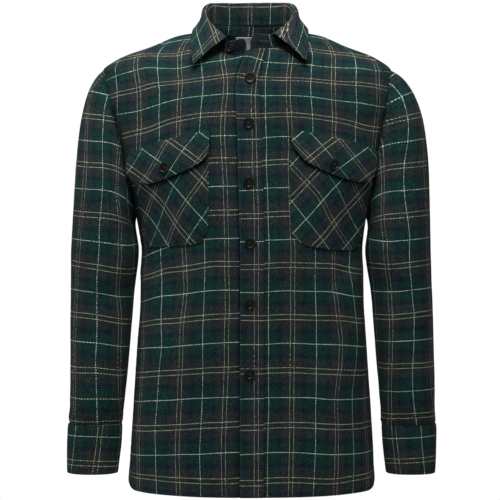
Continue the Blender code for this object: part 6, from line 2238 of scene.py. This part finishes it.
# ---------------------------------------------------------------- the stage
scene = bpy.context.scene
floor_mesh = bpy.data.meshes.new("floor")
floor_mesh.from_pydata([(-7.0, -7.0, -1.45), (7.0, -7.0, -1.45), (7.0, 4.2, -1.45), (-7.0, 4.2, -1.45)], [],
                       [(0, 1, 2, 3)])
floor = bpy.data.objects.new("floor", floor_mesh)
scene.collection.objects.link(floor)
pale = Nodes("pale_floor")
pale.shader.inputs["Base Color"].default_value = (0.86, 0.86, 0.86, 1)
pale.shader.inputs["Roughness"].default_value = 0.9
floor_mesh.materials.append(pale.material)
floor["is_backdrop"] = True

AMBIENT = 0.14
world = bpy.data.worlds.new("studio")
scene.world = world
world.use_nodes = True
background = world.node_tree.nodes["Background"]
background.inputs["Color"].default_value = (1, 1, 1, 1)
# The backdrop is white, and what it lights is softer than that.
seen = world.node_tree.nodes.new("ShaderNodeLightPath")
level_of = world.node_tree.nodes.new("ShaderNodeMapRange")
level_of.inputs["To Min"].default_value = AMBIENT
level_of.inputs["To Max"].default_value = 1.02
world.node_tree.links.new(seen.outputs["Is Camera Ray"], level_of.inputs["Value"])
world.node_tree.links.new(level_of.outputs["Result"], background.inputs["Strength"])


def lamp(name, at, aim, width, height, power, colour=(1, 1, 1)):
    light = bpy.data.lights.new(name, "AREA")
    light.shape, light.size, light.size_y, light.energy, light.color = "RECTANGLE", width, height, power, colour
    obj = bpy.data.objects.new(name, light)
    scene.collection.objects.link(obj)
    obj.location = at
    obj.rotation_mode = "QUATERNION"
    obj.rotation_quaternion = (Vector(aim) - Vector(at)).to_track_quat("-Z", "Y")
    return obj


lamp("key", (-0.06, -1.05, 1.36), (0, 0, -0.25), 0.8, 0.5, 29.0)
lamp("side", (-2.1, -0.32, 0.2), (-0.2, 0, -0.35), 0.9, 0.9, 9.0)
lamp("top", (0.1, -0.1, 1.3), (0, 0, -0.2), 1.0, 0.9, 6.0)

camera = bpy.data.cameras.new("camera")
camera.sensor_width, camera.lens = 36.0, 202.5
camera.clip_start, camera.clip_end = 0.1, 60.0
camera_object = bpy.data.objects.new("camera", camera)
scene.collection.objects.link(camera_object)
target = Vector((0, 0, TARGET_Z * MM))
camera_object.location = target + Vector((0, -CE, SE)) * DISTANCE * MM
camera_object.rotation_mode = "QUATERNION"
camera_object.rotation_quaternion = (target - camera_object.location).to_track_quat("-Z", "Y")
scene.camera = camera_object
scene.view_settings.view_transform = "Standard"
scene.view_settings.look = "None"
scene.view_settings.exposure = 0.0
scene.view_settings.gamma = 1.0

triangles = {}
for obj in ALL:
    obj.data.calc_loop_triangles()
    triangles[obj.name] = len(obj.data.loop_triangles)
print("triangles", sum(triangles.values()), "most", max(triangles, key=triangles.get), max(triangles.values()))
low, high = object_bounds()
